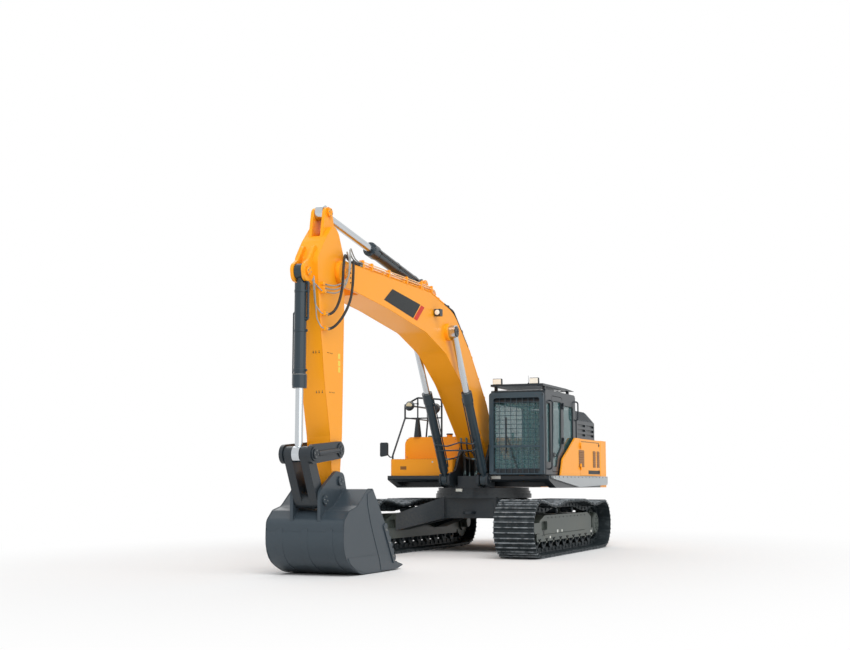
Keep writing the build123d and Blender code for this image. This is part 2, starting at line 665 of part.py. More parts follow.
def house_walls():
    """Fixed walls of the engine house: front bulkhead, roof edges, door posts and the left front cheek."""
    left = DECK_HALF
    wall = HOUSE_WALL
    pieces = []
    cheek = [(180, DECK_TOP, 0), (30, 1690, 120), (-420, 1900, 260), (-820, HOUSE_TOP, 60), (-1136, HOUSE_TOP, 0),
             (-1136, DECK_TOP, 0)]
    pieces.append(prism(cheek, "y", left - 30, left))
    pieces.append(block(-1140, -1132, 330, left - 29, DECK_TOP, HOUSE_TOP))
    pieces.append(block(-1140, -1132, -302, 331, 1700, HOUSE_TOP))
    for x in (-1900, HOUSE_REAR + 42):
        for side in (-1, 1):
            post = sorted((side * (left - 100), side * (left - 46)))
            pieces.append(block(x - 30, x + 30, *post, DECK_TOP, HOUSE_TOP))
    for side in (-1, 1):
        edge = sorted((side * (left - 110), side * (left - 46)))
        front = -1132 if side > 0 else -1520
        pieces.append(block(HOUSE_REAR + 2, front, *edge, HOUSE_TOP - 60, HOUSE_TOP))
    roof = HOUSE_TOP - wall
    pieces.append(block(HOUSE_REAR + 2, -1132, 416, left - 50, roof, HOUSE_TOP))
    pieces.append(block(HOUSE_REAR + 2, -1520, -left + 50, -536, roof, HOUSE_TOP))
    pieces.append(block(-1534, -1132, -302, 417, roof, HOUSE_TOP))
    pieces.append(block(-1534, -1520, -537, -300, roof, HOUSE_TOP))
    pieces += hood_knuckles(60.3, HOOD_HINGE_X + 10, HOUSE_TOP - 1)
    pieces += knuckles(LEFT_HINGE_X, left, [z + 60.3 for z in DOOR_HINGES], 1, LEFT_HINGE_X + 18)
    pieces.append(block(HOUSE_REAR + 2, HOUSE_REAR + 12, -left + 60, left - 60, RIB_TOP + 1, HOUSE_TOP))
    return fused(*pieces)


def knuckles(x, wall_y, heights, out, leaf_x):
    """Hinge knuckles on an upright axis just outside a wall at wall_y, with leaves back to the wall at leaf_x."""
    pieces = []
    axis_y = wall_y + out * HINGE_OUT
    for z in heights:
        pieces.append(bar((x, axis_y, z), (x, axis_y, z + 60), HINGE_R))
        near, far = sorted((wall_y, axis_y + out * 4))
        low, high = sorted((x, leaf_x))
        pieces.append(block(low, high, near + (6 if out > 0 else 0), far - (0 if out > 0 else 6), z, z + 60))
        edge = sorted((leaf_x, leaf_x + (18 if leaf_x > x else -18)))
        pieces.append(block(*edge, near, far, z, z + 60))
    return pieces


def fuel_tank():
    """Tall tank on the right of the boom, round at its outer top edge, with its filler and the rail's boot."""
    rows = [(-TANK_OUT, DECK_TOP, 30), (-TANK_IN, DECK_TOP, 30), (-TANK_IN, TANK_TOP, 60), (-TANK_OUT, TANK_TOP, 150)]
    tank = prism(rows, "x", -800, TANK_FRONT)
    filler = bar((150, -620, TANK_TOP - 1), (150, -620, TANK_TOP + 45), 55)
    return fused(tank, filler)


def toolbox():
    """Low box at the right front with the way up beside the fuel tank."""
    inner = -(BOOM_CYL_Y + BOOM_CYL["gland"] + 8)
    front, outer = TANK_FRONT + 3, TANK_OUT + 4
    plan = [(850, -1540, 60), (850, inner, 30), (800, inner, 0), (800, -320, 0), (front, -320, 0), (front, -outer, 0),
            (-800, -outer, 0), (-800, -1540, 20)]
    return prism(plan, "z", DECK_TOP, 1690)


def hydraulic_tank():
    """Square tank behind the fuel tank."""
    rows = [(-DECK_HALF, DECK_TOP, 25), (-330, DECK_TOP, 25), (-330, HOUSE_TOP, 50), (-DECK_HALF, HOUSE_TOP, 80)]
    tank = prism(rows, "x", -1510, -804)
    cover = bar((-1000, -900, HOUSE_TOP - 1), (-1000, -900, HOUSE_TOP + 25), 110)
    leaves = knuckles(RIGHT_HINGE_X, -DECK_HALF, [z + 60.3 for z in DOOR_HINGES], -1, RIGHT_HINGE_X + 14)
    return fused(tank, cover, *leaves)


def swing_motor():
    """Motor and gear housing that turns the upper, standing behind the boom foot."""
    seat = DECK_BOTTOM + DECK_PLATE
    rows = [(seat, 0, 0), (seat, 170, 0), (1420, 170, 0), (1420, 130, 0), (1720, 130, 0), (1720, 100, 0),
            (1850, 100, 0), (1880, 75, 0), (1880, 0, 0)]
    face = outline([(radius, height, rounding) for height, radius, rounding in rows], "y", 0)
    return Pos(-560, 0, 0) * (Part() + revolve(face, axis=Axis.Z))


def intake_housing():
    """Raised louvred housing on the rear roof behind the cab, with a ribbed, sloped roof."""
    rows = [(1480, HOUSE_TOP, 0), (1480, 2440, 20), (1300, 2650, 30), (560, 2650, 30), (420, 2500, 30),
            (420, HOUSE_TOP, 0)]
    rear, front = HOUSE_REAR + 150, -1180
    body = prism(rows, "x", rear, front)
    middle = (rear + front) / 2
    for z in (2155, 2245, 2335):
        for x0, x1 in ((rear + 60, middle - 40), (middle + 40, front - 60)):
            body = body - block(x0, x1, 1450, 1481, z, z + 45)
    ribs, step = [], (front - rear) / 9
    for i in range(1, 9):
        x = rear + i * step
        rib_rows = [(1478, 2425, 0), (1478, 2455, 20), (1303, 2664, 30), (600, 2664, 20), (600, 2640, 0),
                    (1290, 2630, 0)]
        ribs.append(prism(rib_rows, "x", x - 22, x + 22))
    return fused(body, *ribs)


def exhaust_stack():
    """Upright exhaust with a slanted mouth on the right of the hood."""
    stack = bar((-1900, -900, HOUSE_TOP), (-1900, -900, 2520), 62)
    bore = bar((-1900, -900, 2200), (-1900, -900, 2530), 54)
    mouth = prism([(-2000, 2440, 0), (-1800, 2560, 0), (-2000, 2560, 0)], "y", -1000, -800)
    base = bar((-1900, -900, HOUSE_TOP), (-1900, -900, HOUSE_TOP + 20), 95)
    return fused(stack, base) - bore - mouth


def hood_knuckles(shift, leaf_x, leaf_z):
    """Hinge knuckles across the machine at the hood's front edge, with leaves back to what carries them."""
    pieces = []
    for y in HOOD_HINGES:
        start, stop = y + shift, y + shift + 60
        pieces.append(bar((HOOD_HINGE_X, start, HOOD_HINGE_Z), (HOOD_HINGE_X, stop, HOOD_HINGE_Z), HINGE_R))
        x_ends = sorted((HOOD_HINGE_X, leaf_x))
        z_ends = sorted((HOOD_HINGE_Z + 4, leaf_z)) if leaf_z < HOOD_HINGE_Z else (leaf_z - 4, leaf_z + 4)
        pieces.append(block(*x_ends, start, stop, *z_ends))
    return pieces


def engine_hood():
    """Roof panel over the engine that lifts on hinges along its front edge."""
    rows = [(HOUSE_REAR + 6, HOUSE_TOP + 2, 0), (HOOD_FRONT, HOUSE_TOP + 2, 0), (HOOD_FRONT, HOUSE_TOP + 36, 16),
            (HOUSE_REAR + 6, HOUSE_TOP + 36, 60)]
    lid = prism(rows, "y", -560, 411)
    well = block(HOUSE_REAR + 14, HOOD_FRONT - 2, -528, 408, HOUSE_TOP - 30, HOUSE_TOP + 28)
    rim = block(HOUSE_REAR + 14, HOOD_FRONT - 2, -528, 408, HOUSE_TOP - 30, HOUSE_TOP + 10)
    rim = rim - block(HOUSE_REAR + 22, HOOD_FRONT - 10, -520, 400, HOUSE_TOP - 31, HOUSE_TOP + 11)
    return fused(lid - well, rim, *hood_knuckles(0, HOOD_FRONT - 4, HOOD_HINGE_Z))


def side_door(side):
    """Panel of the engine house's side, hinged at its front edge, with louvres and a folded rim."""
    hinge_x = LEFT_HINGE_X if side > 0 else RIGHT_HINGE_X
    front = hinge_x - 8
    rear = HOUSE_REAR + 4
    inner, outer = sorted((side * (DECK_HALF - HOUSE_WALL), side * DECK_HALF))
    rows = [(front, DECK_TOP + DOOR_GAP, 12), (front, HOUSE_TOP - DOOR_GAP, 12), (rear, HOUSE_TOP - DOOR_GAP, 12),
            (rear, DECK_TOP + DOOR_GAP, 12)]
    panel = prism(rows, "y", inner, outer)
    low, high = sorted((side * (DECK_HALF - 40), side * DECK_HALF))
    rim = prism(rows, "y", low, high)
    inset = [(front - 12, DECK_TOP + 18, 8), (front - 12, HOUSE_TOP - 18, 8), (rear + 12, HOUSE_TOP - 18, 8),
             (rear + 12, DECK_TOP + 18, 8)]
    rim = rim - prism(inset, "y", low - 1, high + 1)
    door = fused(panel, rim, *knuckles(hinge_x, side * DECK_HALF, DOOR_HINGES, side, front - 4))
    face = side * DECK_HALF
    # louvre field's front edge and rear edge
    fields = [(LEFT_HINGE_X - 50, LEFT_HINGE_X - 280), (-2095, -2290), (-2400, HOUSE_REAR + 55)]
    for start, stop in fields[(0 if side > 0 else 1):]:
        slats = [louvre(stop, start, z, face, side) for z in range(1560, 1880, 46)]
        door = fused(door, *slats)
    return door


def louvre(x0, x1, z, face, out):
    """Pressed louvre, a hood that opens downward, on a panel's outer face."""
    rows = [(face - out * 2, z, 0), (face + out * 11, z + 3, 0), (face + out * 9, z + 12, 0),
            (face - out * 2, z + 36, 0)]
    return prism(rows, "x", x0, x1)


def side_skirt(side):
    """Light step and skirt that covers the deck's edge beside the house."""
    rows = [(HOUSE_REAR - 450, DECK_BOTTOM + 50, 60), (-950, DECK_BOTTOM + 10, 200), (780, 1330, 20),
            (800, DECK_TOP - 2, 8), (HOUSE_REAR - 450, DECK_TOP - 2, 8)]
    return prism(rows, "y", *sorted((side * (DECK_HALF + 0.3), side * (DECK_HALF + 40))))


def handrail(points):
    """Bent tube rail through points."""
    return pipe(points, 17, 60)


def handrails():
    """Rails round the way up at the right front, over the tank, and the cab's grab handles."""
    foot, post_x, mid = TANK_TOP + RUN_GAP, TANK_FRONT - 35, 2470
    rail_y, post_y, inner_y = -TANK_OUT - 15, -1175, -690
    climb = handrail([(815, -1500, 1690.3), (815, -1500, 1760), (post_x, rail_y, mid), (post_x, rail_y, 2720),
                      (post_x, post_y, 2850), (post_x, inner_y, 2810), (post_x, inner_y, foot)])
    post = bar((post_x, post_y, foot), (post_x, post_y, 2840), 14)
    boot = Pos(post_x, post_y, foot + 180) * Cone(75, 34, 360)
    middle = bar((post_x, rail_y + 3, mid - 4), (post_x, inner_y - 2, mid - 4), 13)
    side = handrail([(-760, -1500, 1690.3), (-760, -1500, 1800), (-760, rail_y, mid), (-760, rail_y, 2720),
                     (post_x, rail_y, 2720)])
    side_middle = bar((-757, rail_y, mid + 9), (post_x - 3, rail_y, mid + 9), 13)
    front = fused(climb, post, Part() + boot, middle, side, side_middle)
    rear = handrail([(-700, -400, foot), (-700, -400, 2600), (200, -400, 2600), (200, -400, foot)])
    out = CAB_LEFT + 60
    wall = CAB_LEFT + RUN_GAP
    grips = [pipe([(690, wall, 2720), (690, out, 2720), (720, out, 2100), (770, out, 1500), (770, wall, 1500)], 14, 45),
             pipe([(-1000, wall, 2790), (-1000, out, 2790), (-1000, out, 2440), (-1000, wall, 2440)], 14, 45)]
    return apart(front, rear, *grips)


def mirrors():
    """Rear view mirrors on their stalks: right front rail and the cab's left front corner."""
    right = fused(pipe([(815, -1517.3, 1730), (815, -1560, 1730), (893, -1620, 1840)], 11, 20),
                  prism([(-1720, 1730, 30), (-1560, 1760, 30), (-1560, 2000, 30), (-1720, 2000, 30)], "x", 878, 908))
    rounds, x = [], TANK_FRONT - 35
    # post's y, mirror's y, mirror's z, radius
    for post_y, y, z, radius in ((-1175, -1310, 2700, 95), (-690, -800, 2640, 105)):
        side = math.copysign(1, y - post_y)
        stalk = pipe([(x, post_y + side * 17.3, z + 40), (x, post_y + side * 45, z + 40), (x + 72, y, z + 40)], 8, 20)
        glass = Pos(x + 80, y, z) * (Rot(0, 75, 0) * Cone(radius, radius * 0.7, 34))
        rounds.append(fused(stalk, Part() + glass))
    return apart(right, *rounds)


def cab_side_rows(inset):
    """Cab outline in side view, drawn in by an inset."""
    return [(CAB_REAR + inset, CAB_FLOOR + inset, 40), (CAB_FRONT - inset, CAB_FLOOR + inset, 40),
            (CAB_FRONT - inset, 2700, 60), (CAB_FRONT - 60 - inset, CAB_TOP - inset, 90),
            (CAB_REAR + 60 + inset, CAB_TOP - inset, 120), (CAB_REAR + inset, 2700, 60)]


def cab_hull(inset):
    """Cab as one closed form, drawn in by an inset."""
    plan = [(CAB_REAR + inset, CAB_RIGHT + inset, 60), (CAB_FRONT - inset, CAB_RIGHT + inset, 80),
            (CAB_FRONT - inset, CAB_LEFT - inset, 80), (CAB_REAR + inset, CAB_LEFT - inset, 60)]
    return prism(cab_side_rows(inset), "y", CAB_RIGHT, CAB_LEFT) & prism(plan, "z", CAB_FLOOR - 1, CAB_TOP + 1)


def cab_windows():
    """Window openings: axis, level from, level to, corner rows."""
    def opening(u0, u1, v0, v1, r):
        return [(u0, v0, r), (u1, v0, r), (u1, v1, r), (u0, v1, r)]
    return {
        "front": ("x", CAB_FRONT - 100, CAB_FRONT + 1, opening(CAB_RIGHT + 75, CAB_LEFT - 80, 1500, 2680, 50)),
        "rear": ("x", CAB_REAR - 1, CAB_REAR + 100, opening(CAB_RIGHT + 110, CAB_LEFT - 120, 2140, 2680, 60)),
        "right": ("y", CAB_RIGHT - 1, CAB_RIGHT + 100, opening(-860, 860, 1620, 2680, 70)),
        "left_rear": ("y", CAB_LEFT - 100, CAB_LEFT + 1, opening(-860, -220, 1760, 2680, 60)),
        "left_front": ("y", CAB_LEFT - 100, CAB_LEFT + 1, opening(640, 880, 1620, 2680, 50)),
        "roof": ("z", CAB_TOP - 100, CAB_TOP + 1, opening(80, 700, 620, 1300, 40)),
    }


def door_rows(gap):
    """Cab door outline in side view, smaller than its opening by a gap."""
    return [(DOOR_FRONT - gap, DOOR_BOTTOM + gap, 50), (DOOR_FRONT - gap, DOOR_TOP - gap, 80),
            (DOOR_REAR + gap, DOOR_TOP - gap, 80), (DOOR_REAR + gap, 1850, 60), (90, 1700, 80),
            (210 + gap, DOOR_BOTTOM + gap, 20)]


def cab_shell():
    """Hollow cab with its floor, posts and roof, and openings for windows and door."""
    shell = cab_hull(0) - cab_hull(CAB_WALL)
    for axis, low, high, rows in cab_windows().values():
        shell = shell - prism(rows, axis, low, high)
    shell = shell - prism(door_rows(0), "y", CAB_LEFT - 100, CAB_LEFT + 1)
    mounts = [bar((x, y, DECK_TOP), (x, y, CAB_FLOOR + 1), 60) for x in (-900, 820) for y in (580, 1380)]
    leaves = knuckles(DOOR_REAR - 8, CAB_LEFT, [z + 60.3 for z in CAB_HINGES], 1, DOOR_REAR - 22)
    return fused(shell, *mounts, *leaves)


def cab_glass():
    """Fixed panes in the cab's openings."""
    panes = []
    gap = 0.3
    for name, (axis, low, high, rows) in cab_windows().items():
        us, vs = [r[0] for r in rows], [r[1] for r in rows]
        u0, u1, v0, v1 = min(us) + gap, max(us) - gap, min(vs) + gap, max(vs) - gap
        r = rows[0][2] - gap
        inside = 25
        level = high - 1 - inside if high > 0 and name not in ("rear", "right") else low + 1 + inside
        pane = [(u0, v0, r), (u1, v0, r), (u1, v1, r), (u0, v1, r)]
        panes.append(prism(pane, axis, level - GLASS, level))
    return apart(*panes)


def door_window_rows(gap):
    """Door window outline in side view."""
    return [(DOOR_FRONT - 70 - gap, 1540 + gap, 40), (DOOR_FRONT - 70 - gap, DOOR_TOP - 90 - gap, 60),
            (DOOR_REAR + 70 + gap, DOOR_TOP - 90 - gap, 60), (DOOR_REAR + 70 + gap, 1900, 60), (150, 1760, 80),
            (270 + gap, 1540 + gap, 30)]


def cab_door():
    """Door frame with its hinges on the rear edge and a handle."""
    door = prism(door_rows(CAB_DOOR_GAP), "y", CAB_LEFT - DOOR_THICK, CAB_LEFT)
    door = door - prism(door_window_rows(0), "y", CAB_LEFT - DOOR_THICK - 1, CAB_LEFT + 1)
    return fused(door, *knuckles(DOOR_REAR - 8, CAB_LEFT, CAB_HINGES, 1, DOOR_REAR + CAB_DOOR_GAP + 4))


def cab_door_glass():
    """Pane in the cab door."""
    level = CAB_LEFT - 20
    return prism(door_window_rows(0.6), "y", level - GLASS, level)


def front_guard():
    """Welded mesh in a frame with a cross bar before the windscreen."""
    x0, x1 = 1012, 1036
    frame = prism([(CAB_RIGHT, 1405, 20), (CAB_LEFT, 1405, 20), (CAB_LEFT, 2860, 60), (CAB_RIGHT, 2860, 60)],
                  "x", x0, x1 + 14)
    right, left, low, high = CAB_RIGHT + 80, CAB_LEFT - 80, 1430, 2760
    parting = 1900
    inside = [(right, low, 20), (left, low, 20), (left, high, 40), (right, high, 40)]
    frame = frame - prism(inside, "x", x0 - 1, x1 + 15)
    bars = [block(x0 + 2, x1, right - 5, left + 5, parting - 18, parting + 18)]
    columns = 8
    for i in range(1, columns):
        y = right + i * (left - right) / columns
        bars.append(block(x0 + 8, x0 + 16, y - 5, y + 5, low - 5, high + 5))
    for base, top, rows in ((low, parting, 6), (parting, high, 11)):
        for i in range(1, rows):
            z = base + i * (top - base) / rows
            bars.append(block(x0 + 8, x0 + 16, right - 5, left + 5, z - 5, z + 5))
    feet = [block(CAB_FRONT, x0 + 1, y - 20, y + 20, z - 30, z + 30)
            for y in (CAB_RIGHT + 100, CAB_LEFT - 100) for z in (1440, 2820)]
    return fused(frame, *bars, *feet)


def roof_guard():
    """Grid over the cab roof on four posts, drawn to an edge at its rear."""
    z0, z1 = 2970, 3010
    right, left = CAB_RIGHT + 20, CAB_LEFT - 20
    rows = [(1010, z0, 0), (1010, z1, 0), (-480, z1, 0), (-1000, z0 + 22, 0), (-1000, z0 + 12, 0), (-480, z0, 0)]
    slab = prism(rows, "y", right, left)
    frame = slab - block(-900, 950, right + 50, left - 50, z0 - 1, z1 + 1)
    slats = []
    for i in range(1, 9):
        y = right + 50 + i * (left - right - 100) / 9
        slats.append(block(-480, 960, y - 8, y + 8, z0 + 5, z1 - 5))
        slats.append(block(-910, -479, y - 8, y + 8, z0 + 12, z0 + 22))
    posts = [block(x - 25, x + 25, y - 25, y + 25, CAB_TOP, z0 + 15)
             for x in (-700, 820) for y in (right + 40, left - 40)]
    return fused(frame, *slats, *posts)


def work_lamps():
    """Two lamps on the roof guard's front edge."""
    lamps = []
    for y in (620, 1310):
        lamps.append(prism([(930, 3010.3, 10), (1010, 3010.3, 10), (1010, 3110, 15), (940, 3110, 15)], "y",
                           y - 75, y + 75))
    return apart(*lamps)


def cab_seat_base():
    """Seat pedestal on the cab floor."""
    y0, y1 = CAB_MIDDLE - SEAT_HALF + 40, CAB_MIDDLE + SEAT_HALF - 40
    return fused(block(-560, -80, y0, y1, CAB_FLOOR + CAB_WALL + 0.3, 1620),
                 block(-520, -120, y0 + 20, y1 - 20, 1600, SEAT_Z))


def seat_cushions():
    """Seat, back and head rest."""
    low = SEAT_Z + 0.3
    y0, y1 = CAB_MIDDLE - SEAT_HALF, CAB_MIDDLE + SEAT_HALF
    seat = prism([(-560, low, 30), (0, low, 40), (0, 1860, 60), (-560, 1860, 30)], "y", y0, y1)
    back = prism([(-700, 1862, 40), (-560, 1862, 40), (-640, 2420, 50), (-760, 2420, 50)], "y", y0 + 10, y1 - 10)
    head = prism([(-770, 2440, 30), (-680, 2440, 30), (-690, 2600, 40), (-780, 2600, 40)], "y", y0 + 150, y1 - 150)
    neck = block(-735, -705, CAB_MIDDLE - 30, CAB_MIDDLE + 30, 2400, 2460)
    return fused(seat, back, head, neck, block(-660, -540, y0 + 60, y1 - 60, 1790, 1900))


def cab_controls():
    """Consoles beside the seat, levers and travel pedals."""
    pieces = []
    middles = (CAB_RIGHT + CAB_WALL + 20 + CONSOLE_HALF, CAB_LEFT - CAB_WALL - 20 - CONSOLE_HALF)
    for y in middles:
        rows = [(-500, 1700, 20), (120, 1700, 40), (160, 1950, 40), (-450, 1950, 40)]
        console = prism(rows, "y", y - CONSOLE_HALF, y + CONSOLE_HALF)
        pieces.append(fused(console, bar((90, y, 1940), (110, y, 2080), 12), bar((112, y, 2070), (118, y, 2170), 26)))
    floor = CAB_FLOOR + CAB_WALL + 0.3
    for y in (CAB_MIDDLE - 60, CAB_MIDDLE + 60):
        pieces.append(fused(prism([(520, floor, 0), (660, floor, 0), (720, floor + 120, 0), (700, floor + 120, 0)],
                                  "y", y - 45, y + 45), bar((600, y, floor + 10), (560, y, 2000), 10)))
    pedestal = SEAT_HALF - 60 + RUN_GAP
    spans = ((middles[0] - CONSOLE_HALF, CAB_MIDDLE - pedestal), (CAB_MIDDLE + pedestal, middles[1] + CONSOLE_HALF))
    consoles = [fused(pieces[i], block(-480, -200, *spans[i], 1640, SEAT_Z)) for i in (0, 1)]
    return apart(*consoles, *pieces[2:])


def link(p, q, rp, rq, y0, y1):
    """Link with round ends at two pins, its sides tangent to both ends."""
    dx, dz = q[0] - p[0], q[1] - p[1]
    length = math.hypot(dx, dz)
    tilt = math.atan2(dz, dx)
    spread = math.acos((rp - rq) / length)
    corners = []
    for (x, z), radius, turn in ((p, rp, spread), (q, rq, spread), (q, rq, -spread), (p, rp, -spread)):
        corners.append((x + radius * math.cos(tilt + turn), z + radius * math.sin(tilt + turn), 0))
    return fused(prism(corners, "y", y0, y1), cross_bar(p, rp, y0, y1), cross_bar(q, rq, y0, y1))


def boom():
    """Box boom with its knee, foot boss, open nose and the arm cylinder's bracket."""
    rows = [(110, 1730, 90), (360, 1690, 110), (900, 2190, 700), (1800, 2960, 900), (2600, 3440, 900),
            (3500, 3710, 900), (5000, 3900, 900), (6250, 4010, 300), (6760, 4030, 185), (6760, 4410, 185)]
    rows += [(x, z, radius) for (x, z), radius in zip(BOOM_BACK, (300, 900, 900, 1200, 900, 130))]
    body = prism(rows, "y", -BOOM_HALF, BOOM_HALF)
    slot_half = ARM_HALF + 20
    body = body - cross_bar(ARM_PIVOT, ARM_SWEEP_R, -slot_half, slot_half)
    body = body - cross_bar(BOOM_FOOT, PIN_R + PIN_PLAY, -BOOM_HALF - 1, BOOM_HALF + 1)
    pieces = [body, cross_bar(ARM_PIVOT, PIN_R, -BOOM_HALF - 25, BOOM_HALF + 25)]
    boss = BOOM_CYL_Y - BOOM_CYL["eye_half"] - EYE_GAP
    pieces.append(cross_bar(BOOM_CYL_EYE, 150, -boss, boss))
    x, z = ARM_CYL_BASE
    lug = [(x - 330, BOOM_TOP - 50, 0), (x + 130, BOOM_TOP - 30, 0), (x + 115, z + 60, 100), (x - 110, z + 110, 110)]
    gap = ARM_CYL["eye_half"] + EYE_GAP
    for side in (-1, 1):
        pieces.append(prism(lug, "y", *sorted((side * gap, side * (gap + 40)))))
    pieces.append(cross_bar(ARM_CYL_BASE, PIN_R - 5, -gap - 60, gap + 60))
    return fused(*pieces)


def off_back(x, lift):
    """Point over the boom's back at a distance along the machine, lifted square to the surface."""
    for (x1, z1), (x0, z0) in zip(BOOM_BACK, BOOM_BACK[1:]):
        if x0 <= x <= x1:
            tilt = math.atan2(z1 - z0, x1 - x0)
            z = z0 + (x - x0) * math.tan(tilt)
            return (x - lift * math.sin(tilt), z + lift * math.cos(tilt)), tilt


def back_line(xs, y, lift):
    """Points over the boom's back at one distance across."""
    points = []
    for x in xs:
        (px, pz), _ = off_back(x, lift)
        points.append((px, y, pz))
    return points


def saddle(x, half, top):
    """Clamp over the row of pipes, standing on the boom's back."""
    (px, pz), tilt = off_back(x, RUN_GAP)
    shape = block(-half, half, PIPE_ROWS[0] - 22, PIPE_ROWS[-1] + 14, 0, top)
    return Pos(px, 0, pz) * (Rot(0, -math.degrees(tilt), 0) * shape)


def boom_pipes():
    """Steel pipes along the boom's left top edge in clamps, in two stretches with hoses between them."""
    front, rear = [], []
    for y in PIPE_ROWS:
        start = (PIPE_END, y, PIPE_AXIS_Z)
        front.append(pipe([start, (BOOM_BACK[1][0], y, PIPE_AXIS_Z), *back_line([KNEE_FRONT], y, PIPE_LIFT)],
                          PIPE_R, 300))
        front.append(bar((PIPE_END - 60, y, PIPE_AXIS_Z), start, PIPE_R + 5))
        rear.append(pipe(back_line([KNEE_REAR, BOOM_BACK[3][0], BOOM_BACK[4][0], 330], y, PIPE_LIFT), PIPE_R, 300))
    top = PIPE_LIFT + PIPE_R + 6
    front += [saddle(x, 20, top) for x in (5900, 5200, 4400, 3600, 2900)]
    rear += [saddle(x, 20, top) for x in (1300, 950, 640)]
    return apart(fused(*front), fused(*rear))


def knee_hoses():
    """Hoses over the boom's knee that join the two stretches of pipe, held together by straps."""
    hoses, corner = [], BOOM_BACK[2][0]
    for y in PIPE_ROWS:
        line = [*back_line([KNEE_FRONT - RUN_GAP, KNEE_FRONT - 60], y, PIPE_LIFT),
                *back_line([corner], y, PIPE_LIFT + 12),
                *back_line([KNEE_REAR + 60, KNEE_REAR + RUN_GAP], y, PIPE_LIFT)]
        hoses.append(pipe(line, PIPE_R + 3, 250))
    straps = [saddle(x, 30, PIPE_LIFT + PIPE_R + 18) for x in (2450, 1800)]
    return fused(*hoses, *straps)


def hose(name):
    """One free hose along its route, each bend as wide as its two runs allow."""
    radius, points = HOSES[name]
    corners = [Vector(*point) for point in points]
    bends = []
    for before, here, after in zip(corners, corners[1:], corners[2:]):
        back, ahead = here - before, after - here
        half_turn = math.radians(back.get_angle(ahead)) / 2
        bends.append(HOSE_REACH * min(back.length, ahead.length) / math.tan(half_turn))
    print(name, "bends", [round(bend) for bend in bends])
    return pipe(points, radius, bends)


def boom_lamp():
    """Lamp on the boom's left side."""
    body = prism([(3050, 4010, 15), (3170, 4010, 15), (3170, 4130, 15), (3050, 4130, 15)], "y",
                 BOOM_HALF + 20, BOOM_HALF + 120)
    return fused(body, block(3090, 3130, BOOM_HALF + 0.3, BOOM_HALF + 21, 4050, 4090))


def barrel(base, eye, size, y):
    """Cylinder tube with its base eye and gland, bored for the rod."""
    start, stop = (base[0], y, base[1]), (eye[0], y, eye[1])
    tube_start = along(start, stop, NECK)
    gland_start = along(start, stop, size["length"] - 190)
    face = along(start, stop, size["length"])
    body = fused(bar(start, tube_start, size["eye_half"]), bar(tube_start, gland_start, size["tube"]),
                 bar(gland_start, face, size["gland"]),
                 cross_bar(base, EYE_R, y - size["eye_half"], y + size["eye_half"]))
    body = body - bar(along(start, stop, NECK + 30), along(start, stop, size["length"] + 1), size["rod"] + ROD_PLAY)
    return body - cross_bar(base, PIN_R - 5 + PIN_PLAY, y - size["eye_half"] - 1, y + size["eye_half"] + 1)


def boom_barrel(side):
    """One boom cylinder's tube, with the hose's port on its inner side."""
    x, z = BARREL_PORT
    port = bar((x, side * BARREL_SIDE, z), (x, side * (BOOM_CYL_Y - 60), z), PORT_R)
    return fused(barrel(BOOM_CYL_BASE, BOOM_CYL_EYE, BOOM_CYL, side * BOOM_CYL_Y), port)


def rod(base, eye, size, y, reach):
    """Cylinder rod from inside the tube to its eye."""
    start, stop = (base[0], y, base[1]), (eye[0], y, eye[1])
    return fused(bar(along(start, stop, reach), stop, size["rod"]),
                 cross_bar(eye, EYE_R, y - size["eye_half"], y + size["eye_half"]))


def arm():
    """Box arm with ears for both cylinders, pivot bore, rocker pin and nose."""
    rows = [(6560, 1165, 110), (6770, 1190, 110), (6860, 1900, 300), (7060, 2690, 600), (7250, 3760, 500),
            (7300, 4330, 200), (7080, 4620, 200), (6800, 4900, 120), (6640, 4780, 120), (6440, 4420, 250),
            (6450, 3700, 300), (6490, 1900, 600)]
    body = prism(rows, "y", -ARM_HALF, ARM_HALF)
    pieces = [body]
    gap = ARM_CYL["eye_half"] + EYE_GAP
    x, z = ARM_CYL_EYE
    top = [(6600, 4700, 60), (7050, 4500, 60), (x + 120, z + 30, 110), (x - 50, z + 130, 110), (x - 130, z - 60, 90)]
    x, z = BUCKET_CYL_BASE
    front = [(7150, 4640, 60), (7170, 3650, 60), (x - 140, z - 160, 60), (x + 90, z - 130, 100), (x + 140, z + 70, 110),
             (x - 20, z + 160, 100)]
    pieces_gap = BUCKET_CYL["eye_half"] + EYE_GAP
    body = body - prism([(6640, 4830, 0), (7000, 4560, 0), (7000, 5300, 0), (6500, 5300, 0)], "y", -gap, gap)
    pieces[0] = body
    for side in (-1, 1):
        pieces.append(prism(top, "y", *sorted((side * gap, side * (gap + 45)))))
        pieces.append(prism(front, "y", *sorted((side * pieces_gap, side * (pieces_gap + 45)))))
        cap = sorted((side * (gap + 40), side * (gap + 65)))
        pieces.append(cross_bar(ARM_CYL_EYE, PIN_R, *cap))
        pieces.append(cross_bar(ARM_PIVOT, 190, *sorted((side * (ARM_HALF - 5), side * (ARM_HALF + 14)))))
    pieces.append(cross_bar(BUCKET_CYL_BASE, PIN_R - 5, -pieces_gap - 60, pieces_gap + 60))
    pieces.append(cross_bar(ROCKER_PIVOT, PIN_R - 5, -ARM_HALF - 75, ARM_HALF + 75))
    for x, z, y in ARM_PORTS:
        pieces.append(block(x, x + 70, ARM_HALF - 1, y + 28, z - 28, z + 28))
    whole = fused(*pieces)
    whole = whole - cross_bar(ARM_PIVOT, PIN_R + PIN_PLAY, -ARM_HALF - 20, ARM_HALF + 20)
    return whole - cross_bar(BUCKET_PIVOT, PIN_R + PIN_PLAY, -ARM_HALF - 20, ARM_HALF + 20)


